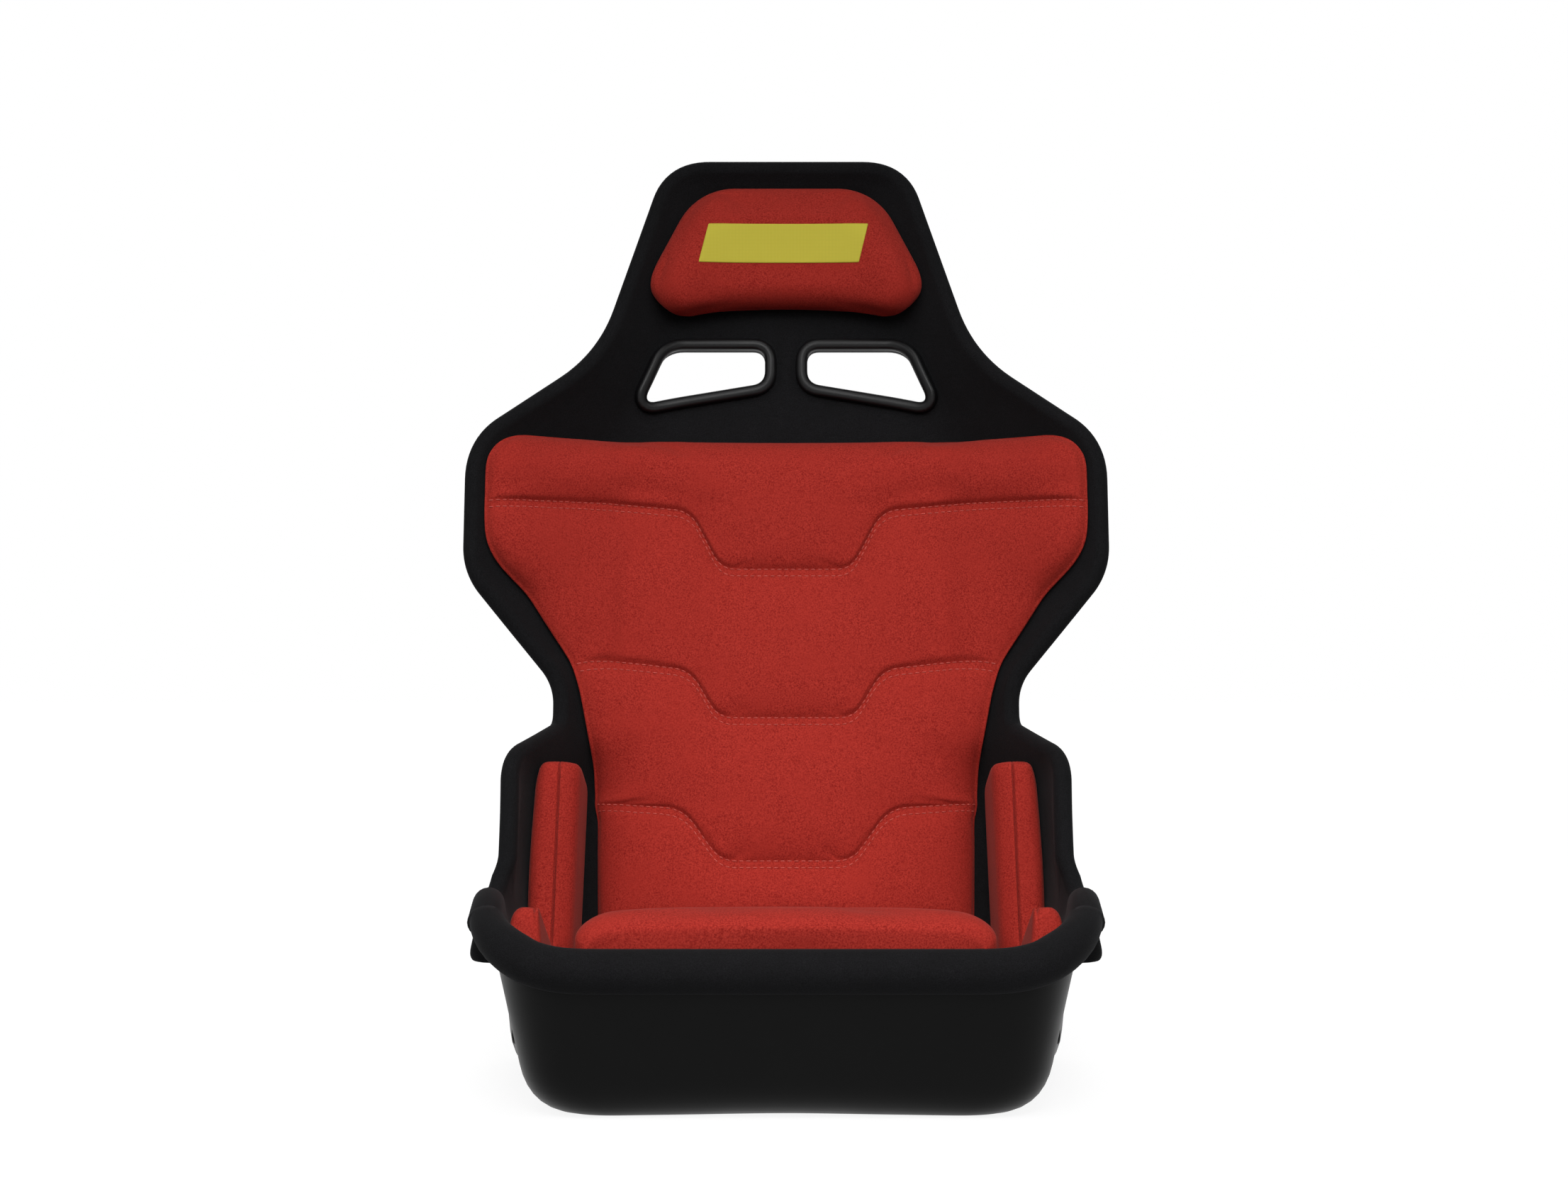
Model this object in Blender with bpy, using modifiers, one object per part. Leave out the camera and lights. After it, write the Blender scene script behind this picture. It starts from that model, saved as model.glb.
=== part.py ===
"""Fixed-back bucket seat: a moulded tub, its velour cover, removable pads and belt slots.

Metres, +Z up. The sitter faces -Y, and the origin is under the middle of the flat base.
"""
import math

import bmesh
import bpy
from mathutils import Vector
from mathutils.bvhtree import BVHTree

# Clearance between pieces that touch
GAP = 0.0003

# Laminate, cover and hook strip thicknesses
SHELL_WALL = 0.004
COVER_FOAM = 0.010
COVER_SPLIT = 0.003
STRIP_THICKNESS = 0.0015

# Back line: where it would meet the base plane, and how far it leans
BACK_FOOT_Y = 0.200
RECLINE = math.radians(13.5)

# Rim of the tub, as half widths and heights
FRONT_RIM_Y = -0.220
FRONT_RIM_HEIGHT = 0.110
FRONT_CORNER_HALF = 0.232
THIGH_HALF = 0.233
THIGH_PEAK_Y = -0.100
THIGH_PEAK_HEIGHT = 0.157
BELT_DIP_HALF = 0.246
BELT_DIP_Y = 0.030
BELT_DIP_HEIGHT = 0.142
HIP_HALF = 0.248
HIP_HEIGHT = 0.2699
HIP_DEPTH = 0.150
WAIST_HALF = 0.2074
WAIST_LOW_HEIGHT = HIP_HEIGHT + 0.0207
WAIST_HIGH_HEIGHT = WAIST_LOW_HEIGHT + 0.0465
WAIST_DEPTH = 0.062
SHOULDER_HALF = 0.2887
SHOULDER_LOW_HEIGHT = WAIST_HIGH_HEIGHT + 0.1044
SHOULDER_HIGH_HEIGHT = SHOULDER_LOW_HEIGHT + 0.1167
SHOULDER_DEPTH = 0.102
NECK_HALF = 0.172
NECK_HEIGHT = SHOULDER_HIGH_HEIGHT + 0.0845
NECK_DEPTH = 0.055
HEAD_HALF = 0.1095
HEAD_HEIGHT = NECK_HEIGHT + 0.1885
HEAD_DEPTH = 0.022

# Edge of the tub's flat middle, where the side walls start
FLOOR_HALF = FRONT_CORNER_HALF - 0.030
FLOOR_MIDDLE_HALF = FLOOR_HALF + 0.008
FLOOR_REAR_HALF = FLOOR_HALF + 0.034
FLOOR_FRONT_Y = FRONT_RIM_Y + 0.035
HIP_FLAT_HALF = HIP_HALF - 0.044
WAIST_FLAT_HALF = WAIST_HALF - 0.0414
SHOULDER_FLAT_HALF = SHOULDER_HALF - 0.1167
NECK_FLAT_HALF = NECK_HALF - 0.047
HEAD_FLAT_HALF = HEAD_HALF - 0.0295
HEAD_FLAT_HEIGHT = HEAD_HEIGHT - 0.0312

# Hook strips that hold the pads
STRIP_WIDTH = 0.040
STRIP_HALF = 0.093
HEAD_STRIP_LENGTH = 0.090
BACK_STRIP_BOTTOM = HIP_HEIGHT + 0.0051
BACK_STRIP_LENGTH = 0.220
SEAT_STRIP_LENGTH = 0.090

# Rounding: floor to back, the rim's front corner as a share of its side, and flat middle to walls
BIGHT_BLEND = 0.085
FRONT_SWEEP = 0.65
WALL_FILLET = 0.038
HEAD_FILLET = 0.014

# Padded edge: radius of the roll, and its centre's height over the tub's edge
FRONT_ROLL_RADIUS = 0.018
FRONT_ROLL_RISE = 0.0125
THIGH_ROLL_RADIUS = 0.014
THIGH_ROLL_RISE = 0.0097
THIGH_ROLL_OVERHANG = 0.0105
UPPER_ROLL_RADIUS = 0.0085
UPPER_ROLL_RISE = 0.0045
ROLL_SIDES = 9
ROLL_SEAT = 4 * GAP

# Cover hem that hangs outside each thigh bolster
HEM_FRONT_Y = -0.100
HEM_REAR_Y = 0.010
HEM_HALF = THIGH_HALF + 0.0305
HEM_BOTTOM = THIGH_PEAK_HEIGHT - 0.042
HEM_DROP = 0.030
HEM_TOP_THICKNESS = 0.008
HEM_CLEAR = 2.5 * GAP

# Shoulder belt slots, seen from the front
SLOT_INNER_X = 0.0205
SLOT_TOP_OUTER_X = NECK_HALF - 0.061
SLOT_BOTTOM_OUTER_X = SLOT_TOP_OUTER_X + 0.025
SLOT_TOP = NECK_HEIGHT + 0.0128
SLOT_INNER_BOTTOM = SLOT_TOP - 0.033
SLOT_OUTER_BOTTOM = SLOT_TOP - 0.053
SLOT_CORNER = 0.012
BEZEL_WIDTH = 0.0112
BEZEL_HEIGHT = 0.0085
REAR_BEZEL_WIDTH = 0.010
REAR_BEZEL_HEIGHT = 0.004

# Crotch strap slot through the floor
CROTCH_Y = -0.060
CROTCH_WIDTH = 0.070
CROTCH_LENGTH = 0.030
CROTCH_CORNER = 0.012
GROMMET_WALL = 0.003
GROMMET_FLANGE = 0.008
GROMMET_LIP = 0.003
CUSHION_SLOT_MARGIN = 0.014

# Side mounts: threaded inserts in flat bosses
MOUNT_SPACING = 0.290
MOUNT_MIDDLE_Y = 0.030
MOUNT_HEIGHT = 0.062
FRONT_MOUNT_HALF = FLOOR_HALF + 0.0225
REAR_MOUNT_HALF = FLOOR_REAR_HALF + 0.0125
BOSS_RADIUS = 0.0115
INSERT_RADIUS = 0.007
INSERT_LENGTH = 0.010
THREAD_RADIUS = 0.004
THREAD_DEPTH = 0.0085

# Pads: how far they stand off the cover, and how their sewn border is drawn in
PAD_EDGE_ROUND = 0.022
PAD_EDGE_SHARE = 0.50
PAD_SWELL = 0.003

# Head pad
HEAD_PAD_TOP = HEAD_HEIGHT - 0.0192
HEAD_PAD_BOTTOM = NECK_HEIGHT + 0.0453
HEAD_PAD_TOP_HALF = HEAD_HALF - 0.0255
HEAD_PAD_BOTTOM_HALF = NECK_HALF - 0.024
HEAD_PAD_HIGH_CORNER = 0.032
HEAD_PAD_LOW_CORNER = 0.044
HEAD_PAD_THICKNESS = 0.034

# Back cushion
BACK_TOP = SHOULDER_HIGH_HEIGHT + 0.0098
BACK_BOTTOM = 0.116
BACK_SHOULDER_HALF = SHOULDER_HALF - 0.0082
BACK_SHOULDER_HEIGHT = SHOULDER_LOW_HEIGHT + 0.0265
BACK_WAIST_HALF = WAIST_HALF - 0.0154
BACK_WAIST_HEIGHT = WAIST_HIGH_HEIGHT + 0.0029
BACK_HIP_HALF = HIP_FLAT_HALF - 0.0355
BACK_HIP_HEIGHT = HIP_HEIGHT - 0.0479
BACK_TOP_CORNER = 0.040
BACK_THICKNESS = 0.036
BACK_PUFF = 0.005
SEAM_SHARES = (0.8274, 0.5022, 0.2190)
SEAM_HEIGHTS = tuple(BACK_BOTTOM + share * (BACK_TOP - BACK_BOTTOM) for share in SEAM_SHARES)
SEAM_DROPS = (0.056, 0.049, 0.048)
SEAM_RISES = (0.010, 0.0, 0.0)
SEAM_STEP_OUTER = 0.105
SEAM_STEP_INNER = 0.052
SEAM_ROUND = 0.008
SEAM_DEPTH = 0.005

# Seat cushion
SEAT_HALF = FLOOR_HALF - 0.032
SEAT_FRONT_Y = FRONT_RIM_Y + 0.028
SEAT_REAR_Y = BACK_FOOT_Y - 0.050
SEAT_FRONT_TOP = FRONT_RIM_HEIGHT + 0.058
SEAT_REAR_TOP = 0.104
SEAT_CROWN = 0.006
SEAT_NOSE = 0.030
SEAT_CORNER = 0.010

# Side pads: ridge seam and where each leg ends
PAD_RIDGE_HALF = FLOOR_HALF + 0.0045
PAD_INNER_HALF = SEAT_HALF + 0.0095
PAD_TOP_HEIGHT = HIP_HEIGHT + 0.0021
PAD_TOP_Y = BACK_FOOT_Y - 0.062
PAD_RIDGE_Y = BACK_FOOT_Y - 0.104
PAD_CORNER_HEIGHT = 0.122
PAD_FRONT_Y = -0.084
PAD_FRONT_HEIGHT = 0.162

# Colours, as linear red, green and blue
VELOUR_BLACK = (0.012, 0.012, 0.012)
SUEDE_RED = (0.30, 0.025, 0.016)
GELCOAT_BLACK = (0.008, 0.008, 0.008)
PLASTIC_BLACK = (0.025, 0.025, 0.026)
STEEL = (0.55, 0.55, 0.56)

# Mesh steps: along each leg of the rim, round each corner, and across a wall
LEG_STEPS = (4, 2, 3, 2, 2, 1, 1, 3, 3, 4, 5, 3)
CORNER_STEPS = (6, 3, 3, 3, 3, 3, 3, 3, 3, 3, 3)
WALL_STEPS = (3, 3, 2)

SLOPE = math.tan(RECLINE)
PAD_LIFT = STRIP_THICKNESS + 2 * GAP
SIDE_PAD_LIFT = 2.7 * GAP


def clear_scene():
    """Remove every object that the file opened with."""
    for item in list(bpy.data.objects):
        bpy.data.objects.remove(item, do_unlink=True)


def new_collection(name):
    """A collection linked to the scene."""
    group = bpy.data.collections.new(name)
    bpy.context.scene.collection.children.link(group)
    return group


def make_material(name, colour, roughness, metallic=0.0):
    """A Principled material of one colour."""
    material = bpy.data.materials.new(name)
    material.use_nodes = True
    shader = material.node_tree.nodes["Principled BSDF"]
    shader.inputs["Base Color"].default_value = (*colour, 1.0)
    shader.inputs["Roughness"].default_value = roughness
    shader.inputs["Metallic"].default_value = metallic
    return material


def add_object(name, points, faces, group, material=None):
    """A mesh object from points and faces, smooth with sharp creases."""
    mesh = bpy.data.meshes.new(name)
    mesh.from_pydata([tuple(point) for point in points], [], faces)
    mesh.shade_smooth()
    mesh.set_sharp_from_angle(angle=math.radians(40))
    item = bpy.data.objects.new(name, mesh)
    group.objects.link(item)
    if material:
        mesh.materials.append(material)
    return item


def face_outwards(item):
    """Merge doubled points and turn every face of a closed mesh outwards."""
    mesh = bmesh.new()
    mesh.from_mesh(item.data)
    bmesh.ops.remove_doubles(mesh, verts=mesh.verts, dist=1e-6)
    bmesh.ops.recalc_face_normals(mesh, faces=mesh.faces)
    mesh.to_mesh(item.data)
    mesh.free()


def hide_guide(item):
    """Keep a cutter or guide out of the finished model."""
    item.hide_render = True
    item.display_type = "WIRE"


def surface_tree(item):
    """A search tree of an object's finished surface."""
    bpy.context.view_layer.update()
    return BVHTree.FromObject(item, bpy.context.evaluated_depsgraph_get())


def cast(tree, start, direction):
    """Where a line meets a surface, with the normal that faces the line's start."""
    point, normal, _, _ = tree.ray_cast(Vector(start), Vector(direction))
    if normal.dot(Vector(direction)) > 0:
        normal = -normal
    return point, normal


def back_y(height):
    """Depth of the tub's back at a height."""
    return BACK_FOOT_Y + SLOPE * height


def mirrored(point):
    """The same point on the seat's other side."""
    return Vector((-point[0], point[1], point[2]))


def lerp(low, high, share):
    """A value between two others."""
    return low + (high - low) * share


def ease(share):
    """A smooth step from 0 to 1."""
    share = min(max(share, 0.0), 1.0)
    return share * share * (3 - 2 * share)


def bend(start, corner, end, steps):
    """Points of a curve that leaves start towards a corner and arrives at end from it."""
    points = []
    for step in range(steps + 1):
        share = step / steps
        points.append(start * (1 - share) ** 2 + corner * (2 * share * (1 - share)) + end * share ** 2)
    return points


def rounded_path(corners, blends, legs, rounds, sweep=None):
    """Points along a line of corners, each rounded over its blend length; a sweep draws out the first."""
    points = [corners[0]]
    leave = corners[0]
    for index in range(1, len(corners)):
        corner = corners[index]
        towards = (corner - corners[index - 1]).length
        steps = legs[index - 1]
        if index == len(corners) - 1:
            points += [leave.lerp(corner, step / steps) for step in range(1, steps + 1)]
            break
        onwards = (corners[index + 1] - corner).length
        near = min(blends[index], 0.45 * towards, 0.45 * onwards)
        past = near
        if sweep and index == 1:
            near = min(blends[index], 0.45 * towards)
            past = sweep * onwards
        if sweep and index == 2:
            near = past = min(near, 0.9 * (1 - sweep) * towards)
        arrive = corner.lerp(corners[index - 1], near / towards)
        points += [leave.lerp(arrive, step / steps) for step in range(1, steps + 1)]
        leave = corner.lerp(corners[index + 1], past / onwards)
        points += bend(arrive, corner, leave, rounds[index - 1])[1:]
    return points


def row_at(legs, corners):
    """The tub's row that ends a number of legs and rounded corners from the front."""
    return sum(LEG_STEPS[:legs]) + sum(CORNER_STEPS[:corners])


def tub_lines():
    """The tub's rim, wall foot and middle line on the sitter's left half, from front lip to head."""
    floor = SHELL_WALL

    def on_back(half, height, depth=0.0):
        return Vector((half, back_y(height) - depth, height))

    bight = Vector((0, back_y(floor), floor))
    hip = on_back(HIP_HALF, HIP_HEIGHT, HIP_DEPTH)
    dip = Vector((BELT_DIP_HALF, BELT_DIP_Y, BELT_DIP_HEIGHT))
    rim = [
        Vector((0, FRONT_RIM_Y, FRONT_RIM_HEIGHT)),
        Vector((FRONT_CORNER_HALF, FRONT_RIM_Y, FRONT_RIM_HEIGHT)),
        Vector((THIGH_HALF, THIGH_PEAK_Y, THIGH_PEAK_HEIGHT)),
        dip,
        dip.lerp(hip, 0.5),
        hip,
        on_back(WAIST_HALF, WAIST_LOW_HEIGHT, WAIST_DEPTH),
        on_back(WAIST_HALF, WAIST_HIGH_HEIGHT, WAIST_DEPTH),
        on_back(SHOULDER_HALF, SHOULDER_LOW_HEIGHT, SHOULDER_DEPTH),
        on_back(SHOULDER_HALF, SHOULDER_HIGH_HEIGHT, SHOULDER_DEPTH),
        on_back(NECK_HALF, NECK_HEIGHT, NECK_DEPTH),
        on_back(HEAD_HALF, HEAD_HEIGHT, HEAD_DEPTH),
        on_back(0, HEAD_HEIGHT, HEAD_DEPTH),
    ]
    rim_blends = (0, 0.075, 0.045, 0.050, 0.02, 0.022, 0.018, 0.022, 0.022, 0.034, 0.050, 0.036, 0)
    foot = [
        Vector((0, FLOOR_FRONT_Y, floor)),
        Vector((FLOOR_HALF, FLOOR_FRONT_Y, floor)),
        Vector((FLOOR_MIDDLE_HALF, lerp(FLOOR_FRONT_Y, BACK_FOOT_Y, 0.25), floor)),
        Vector((FLOOR_REAR_HALF, lerp(FLOOR_FRONT_Y, BACK_FOOT_Y, 0.62), floor)),
        bight + Vector((lerp(FLOOR_REAR_HALF, HIP_FLAT_HALF, 0.3), 0, 0)),
        on_back(HIP_FLAT_HALF, lerp(floor, HIP_HEIGHT, 0.82)),
        on_back(WAIST_FLAT_HALF, lerp(HIP_HEIGHT, WAIST_LOW_HEIGHT, 0.5)),
        on_back(WAIST_FLAT_HALF, WAIST_HIGH_HEIGHT - 0.2 * WAIST_DEPTH),
        on_back(SHOULDER_FLAT_HALF, SHOULDER_LOW_HEIGHT - 0.13 * SHOULDER_DEPTH),
        on_back(SHOULDER_FLAT_HALF, SHOULDER_HIGH_HEIGHT - 0.13 * SHOULDER_DEPTH),
        on_back(NECK_FLAT_HALF, NECK_HEIGHT - 0.2 * NECK_DEPTH),
        on_back(HEAD_FLAT_HALF, HEAD_FLAT_HEIGHT),
        on_back(0, HEAD_FLAT_HEIGHT),
    ]
    foot_blends = (0, 0.060, 0.03, 0.03, BIGHT_BLEND, 0.02, 0.02, 0.02, 0.03, 0.03, 0.03, 0.02, 0)
    middle_front = lerp(FLOOR_FRONT_Y, BACK_FOOT_Y, 0.30)
    middle = [
        Vector((0, middle_front, floor)),
        Vector((0, middle_front + 0.010, floor)),
        Vector((0, middle_front + 0.025, floor)),
        Vector((0, foot[3].y, floor)),
        bight,
        on_back(0, foot[5].z),
        on_back(0, foot[6].z),
        on_back(0, foot[7].z),
        on_back(0, foot[8].z),
        on_back(0, foot[9].z),
        on_back(0, foot[10].z),
        on_back(0, lerp(NECK_HEIGHT, HEAD_FLAT_HEIGHT, 0.68)),
        on_back(0, lerp(NECK_HEIGHT, HEAD_FLAT_HEIGHT, 0.80)),
    ]
    middle_blends = (0, 0.003, 0.005, 0.03, BIGHT_BLEND, 0.02, 0.02, 0.02, 0.03, 0.03, 0.03, 0.02, 0)
    return [
        rounded_path(rim, rim_blends, LEG_STEPS, CORNER_STEPS, FRONT_SWEEP),
        rounded_path(foot, foot_blends, LEG_STEPS, CORNER_STEPS),
        rounded_path(middle, middle_blends, LEG_STEPS, CORNER_STEPS),
    ]


def wall_fillets(count):
    """How far the rounding at the wall's foot reaches, for each section of the tub."""
    narrow_from = row_at(9, 9)
    narrow_to = row_at(11, 10)
    shares = [ease((index - narrow_from) / (narrow_to - narrow_from)) for index in range(count)]
    return [lerp(WALL_FILLET, HEAD_FILLET, share) for share in shares]


def tub_sections():
    """Sections of the tub from its middle line to its rim, on the sitter's left half."""
    rim, foot, middle = tub_lines()
    sections = []
    for edge, base, centre, fillet in zip(rim, foot, middle, wall_fillets(len(rim))):
        in_length = (base - centre).length
        out_length = (edge - base).length
        reach = min(fillet, 0.6 * in_length, 0.6 * out_length)
        arrive = base.lerp(centre, reach / in_length)
        leave = base.lerp(edge, reach / out_length)
        line = [centre.lerp(arrive, step / WALL_STEPS[0]) for step in range(WALL_STEPS[0])]
        line += bend(arrive, base, leave, WALL_STEPS[1])
        line += [leave.lerp(edge, step / WALL_STEPS[2]) for step in range(1, WALL_STEPS[2] + 1)]
        sections.append(line)
    return sections


def half_surface(name, sections, group, material=None):
    """An open half surface through sections, made whole by a mirror, facing the sitter."""
    width = len(sections[0])
    points = [point for line in sections for point in line]
    faces = []
    for row in range(len(sections) - 1):
        for column in range(width - 1):
            corner = row * width + column
            faces.append((corner, corner + 1, corner + width + 1, corner + width))
    item = add_object(name, points, faces, group, material)
    mirror = item.modifiers.new("other half", "MIRROR")
    mirror.merge_threshold = 0.0001
    mirror.use_clip = True
    return item


def offset_guide(name, sections, distance, group):
    """The tub's surface moved along its normals, as a guide that other pieces lie on."""
    guide = half_surface(name, sections, group)
    move = guide.modifiers.new("offset", "DISPLACE")
    move.strength = distance
    move.mid_level = 0
    hide_guide(guide)
    return guide


def thicken(item, thickness, side):
    """Give an open surface a wall on the side its normals point to (1) or away from them (-1)."""
    wall = item.modifiers.new("wall", "SOLIDIFY")
    wall.thickness = thickness
    wall.offset = side


def cut(item, cutter, operation="DIFFERENCE"):
    """Cut one object by another, or join it."""
    boolean = item.modifiers.new(cutter.name, "BOOLEAN")
    boolean.object = cutter
    boolean.operation = operation
    boolean.solver = "EXACT"


def loft(name, rings, group, material=None, closed=False):
    """A closed body through rings of points, capped at both ends or joined end to end."""
    size = len(rings[0])
    points = [point for ring in rings for point in ring]
    faces = []
    spans = len(rings) if closed else len(rings) - 1
    for row in range(spans):
        here = row * size
        there = ((row + 1) % len(rings)) * size
        for column in range(size):
            after = (column + 1) % size
            faces.append((here + column, here + after, there + after, there + column))
    if not closed:
        faces.append(tuple(range(size)))
        faces.append(tuple((len(rings) - 1) * size + column for column in range(size)))
    item = add_object(name, points, faces, group, material)
    face_outwards(item)
    return item


def prism(name, outline, offset, group):
    """A cutter: an outline moved by half an offset each way and closed."""
    return loft(name, [[point - offset for point in outline], [point + offset for point in outline]], group)


def pad(name, under, over, swell, group, material):
    """A stuffed pad between an under and an over grid, its sides swelling by a small amount."""
    rows = len(under)
    columns = len(under[0])
    border = [(0, column) for column in range(columns)]
    border += [(row, columns - 1) for row in range(1, rows)]
    border += [(rows - 1, column) for column in range(columns - 2, -1, -1)]
    border += [(row, 0) for row in range(rows - 2, 0, -1)]
    points = [point for line in under for point in line]
    points += [point for line in over for point in line]
    shift = rows * columns
    faces = []
    for row in range(rows - 1):
        for column in range(columns - 1):
            corner = row * columns + column
            quad = (corner, corner + 1, corner + columns + 1, corner + columns)
            faces.append(quad[::-1])
            faces.append(tuple(index + shift for index in quad))
    middle = sum((under[row][column] for row, column in border), Vector()) / len(border)
    waist = len(points)
    for row, column in border:
        low = under[row][column]
        high = over[row][column]
        outward = low - middle
        outward -= outward.project(high - low)
        points.append(low.lerp(high, 0.5) + outward.normalized() * swell)
    for index, (row, column) in enumerate(border):
        after = (index + 1) % len(border)
        next_row, next_column = border[after]
        low = row * columns + column
        low_after = next_row * columns + next_column
        faces.append((low, low_after, waist + after, waist + index))
        faces.append((waist + index, waist + after, low_after + shift, low + shift))
    item = add_object(name, points, faces, group, material)
    face_outwards(item)
    return item


def roll_ring(edge, inward, tangent, radius, rise, overhang):
    """One ring of the padded edge, flat where it sits on the tub and cover."""
    out = tangent.cross(inward).normalized()
    centre = edge + inward * ((COVER_FOAM + GAP - SHELL_WALL) / 2 - overhang)
    widest = math.acos(-(rise - ROLL_SEAT) / radius)
    ring = []
    for step in range(ROLL_SIDES):
        angle = lerp(-widest, widest, step / (ROLL_SIDES - 1))
        ring.append(centre + out * (rise + radius * math.cos(angle)) + inward * (radius * math.sin(angle)))
    return ring


def edge_rolls(sections, guide, group, material):
    """The thick front roll over lip and thighs, and the thin roll round the rest of the rim."""
    count = len(sections)
    width = len(sections[0])
    bpy.context.view_layer.update()
    lifted = guide.evaluated_get(bpy.context.evaluated_depsgraph_get()).data.vertices
    split = row_at(3, 2) + 1
    thin_from = row_at(5, 4)
    rings = []
    for index, line in enumerate(sections):
        before = sections[max(index - 1, 0)][-1] if index else mirrored(sections[1][-1])
        after = sections[index + 1][-1] if index < count - 1 else mirrored(sections[count - 2][-1])
        thigh = ease((index - row_at(1, 0)) / (row_at(2, 1) - row_at(1, 0)))
        share = ease((index - row_at(3, 2)) / (thin_from - row_at(3, 2)))
        radius = lerp(lerp(FRONT_ROLL_RADIUS, THIGH_ROLL_RADIUS, thigh), UPPER_ROLL_RADIUS, share)
        rise = lerp(lerp(FRONT_ROLL_RISE, THIGH_ROLL_RISE, thigh), UPPER_ROLL_RISE, share)
        ending = ease((index - row_at(2, 2)) / (row_at(3, 2) - row_at(2, 2)))
        overhang = THIGH_ROLL_OVERHANG * thigh * (1 - ending)
        inward = (lifted[index * width + width - 1].co - line[-1]).normalized()
        rings.append(roll_ring(line[-1], inward, after - before, radius, rise, overhang))
    step = sections[split + 1][-1] - sections[split][-1]
    shift = step.normalized() * GAP
    low = rings[:split + 1]
    high = [[point + shift for point in rings[split]]] + rings[split + 1:]
    front = [[mirrored(point) for point in ring] for ring in reversed(low[1:])] + low
    upper = high + [[mirrored(point) for point in ring] for ring in reversed(high[:-1])]
    loft("front_roll", front, group, material)
    loft("upper_roll", upper, group, material)


def make_covers(sections, group, material):
    """The foam-backed cover: the tub's lining below the hips and the back's lining above."""
    split = row_at(5, 5)
    halves = {"seat_cover": sections[:split + 1], "back_cover": sections[split:]}
    towards = [b - a for a, b in zip(sections[split], sections[split + 1])]
    halves["back_cover"] = list(halves["back_cover"])
    halves["back_cover"][0] = [a + d.normalized() * COVER_SPLIT for a, d in zip(sections[split], towards)]
    covers = []
    for name, lines in halves.items():
        item = half_surface(name, lines, group, material)
        lift = item.modifiers.new("clear of the tub", "DISPLACE")
        lift.strength = GAP
        lift.mid_level = 0
        thicken(item, COVER_FOAM, 1)
        covers.append(item)
    return covers


def rounded_outline(corners, blend, steps):
    """A closed outline whose corners are rounded over a blend length."""
    points = []
    for index, corner in enumerate(corners):
        before = corners[index - 1]
        after = corners[(index + 1) % len(corners)]
        arrive = corner.lerp(before, blend / (corner - before).length)
        leave = corner.lerp(after, blend / (after - corner).length)
        points += bend(arrive, corner, leave, steps)
    return points


def slot_outline(side):
    """The shoulder slot's outline as seen from the front, on one side."""
    corners = [
        Vector((SLOT_INNER_X, 0, SLOT_TOP)),
        Vector((SLOT_TOP_OUTER_X, 0, SLOT_TOP)),
        Vector((SLOT_BOTTOM_OUTER_X, 0, SLOT_OUTER_BOTTOM)),
        Vector((SLOT_INNER_X, 0, SLOT_INNER_BOTTOM)),
    ]
    outline = rounded_outline(corners, SLOT_CORNER, 3)
    return outline if side > 0 else [mirrored(point) for point in outline]


def refined(outline, spacing):
    """A closed outline with extra points along its longer sides."""
    points = []
    for index, point in enumerate(outline):
        after = outline[(index + 1) % len(outline)]
        steps = max(1, math.ceil((after - point).length / spacing))
        points += [point.lerp(after, step / steps) for step in range(steps)]
    return points


def ring_frame(name, outline, tree, direction, size, clear, group, material):
    """A domed frame of a width and height round an outline, laid clear of a surface."""
    direction = Vector(direction)
    width, height = size
    seats = [cast(tree, point - direction, direction) for point in outline]
    count = len(seats)
    middle = sum((point for point, _ in seats), Vector()) / count
    profile = ((0, 0.55), (0.22, 0.92), (0.5, 1.0), (0.78, 0.92), (1, 0.55))
    rings = []
    for index, (point, normal) in enumerate(seats):
        along = seats[(index + 1) % count][0] - seats[index - 1][0]
        out = along.cross(normal).normalized()
        if out.dot(point - middle) < 0:
            out = -out
        bases = []
        for across in (0, 0.5, 1):
            foot, rise = cast(tree, point + out * (across * width) - direction, direction)
            bases.append(foot + rise * clear)
        crown = []
        for across, up in profile:
            half = 0 if across < 0.5 else 1
            start = bases[half].lerp(bases[half + 1], 2 * across - half)
            crown.append(start + normal * (up * height))
        rings.append(crown + bases[::-1])
    return loft(name, rings, group, material, closed=True)


def make_slots(shell, covers, face_tree, outer_tree, parts, cutters, material):
    """Shoulder belt slots through tub and cover, framed on both sides."""
    middle = Vector((0, back_y(SLOT_TOP), 0))
    reach = Vector((0, SHOULDER_DEPTH, 0))
    for side, label in ((1, "left"), (-1, "right")):
        outline = slot_outline(side)
        cutter = prism(f"slot_cutter_{label}", [point + middle for point in outline], reach, cutters)
        hide_guide(cutter)
        cut(shell, cutter)
        cut(covers[1], cutter)
        outline = refined(outline, BEZEL_WIDTH)
        front = [Vector((point.x, 1, point.z)) for point in outline]
        ring_frame(
            f"harness_bezel_front_{label}", front, face_tree, (0, 1, 0),
            (BEZEL_WIDTH, BEZEL_HEIGHT), GAP, parts, material,
        )
        rear = [Vector((point.x, 0, point.z)) for point in outline]
        ring_frame(
            f"harness_bezel_rear_{label}", rear, outer_tree, (0, -1, 0),
            (REAR_BEZEL_WIDTH, REAR_BEZEL_HEIGHT), 3 * GAP, parts, material,
        )


def rectangle(width, length, corner, height):
    """A rounded rectangle round the crotch strap slot at a height."""
    corners = [
        Vector((x * width / 2, CROTCH_Y + y * length / 2, height))
        for x, y in ((-1, -1), (1, -1), (1, 1), (-1, 1))
    ]
    return rounded_outline(corners, corner, 3)


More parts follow.
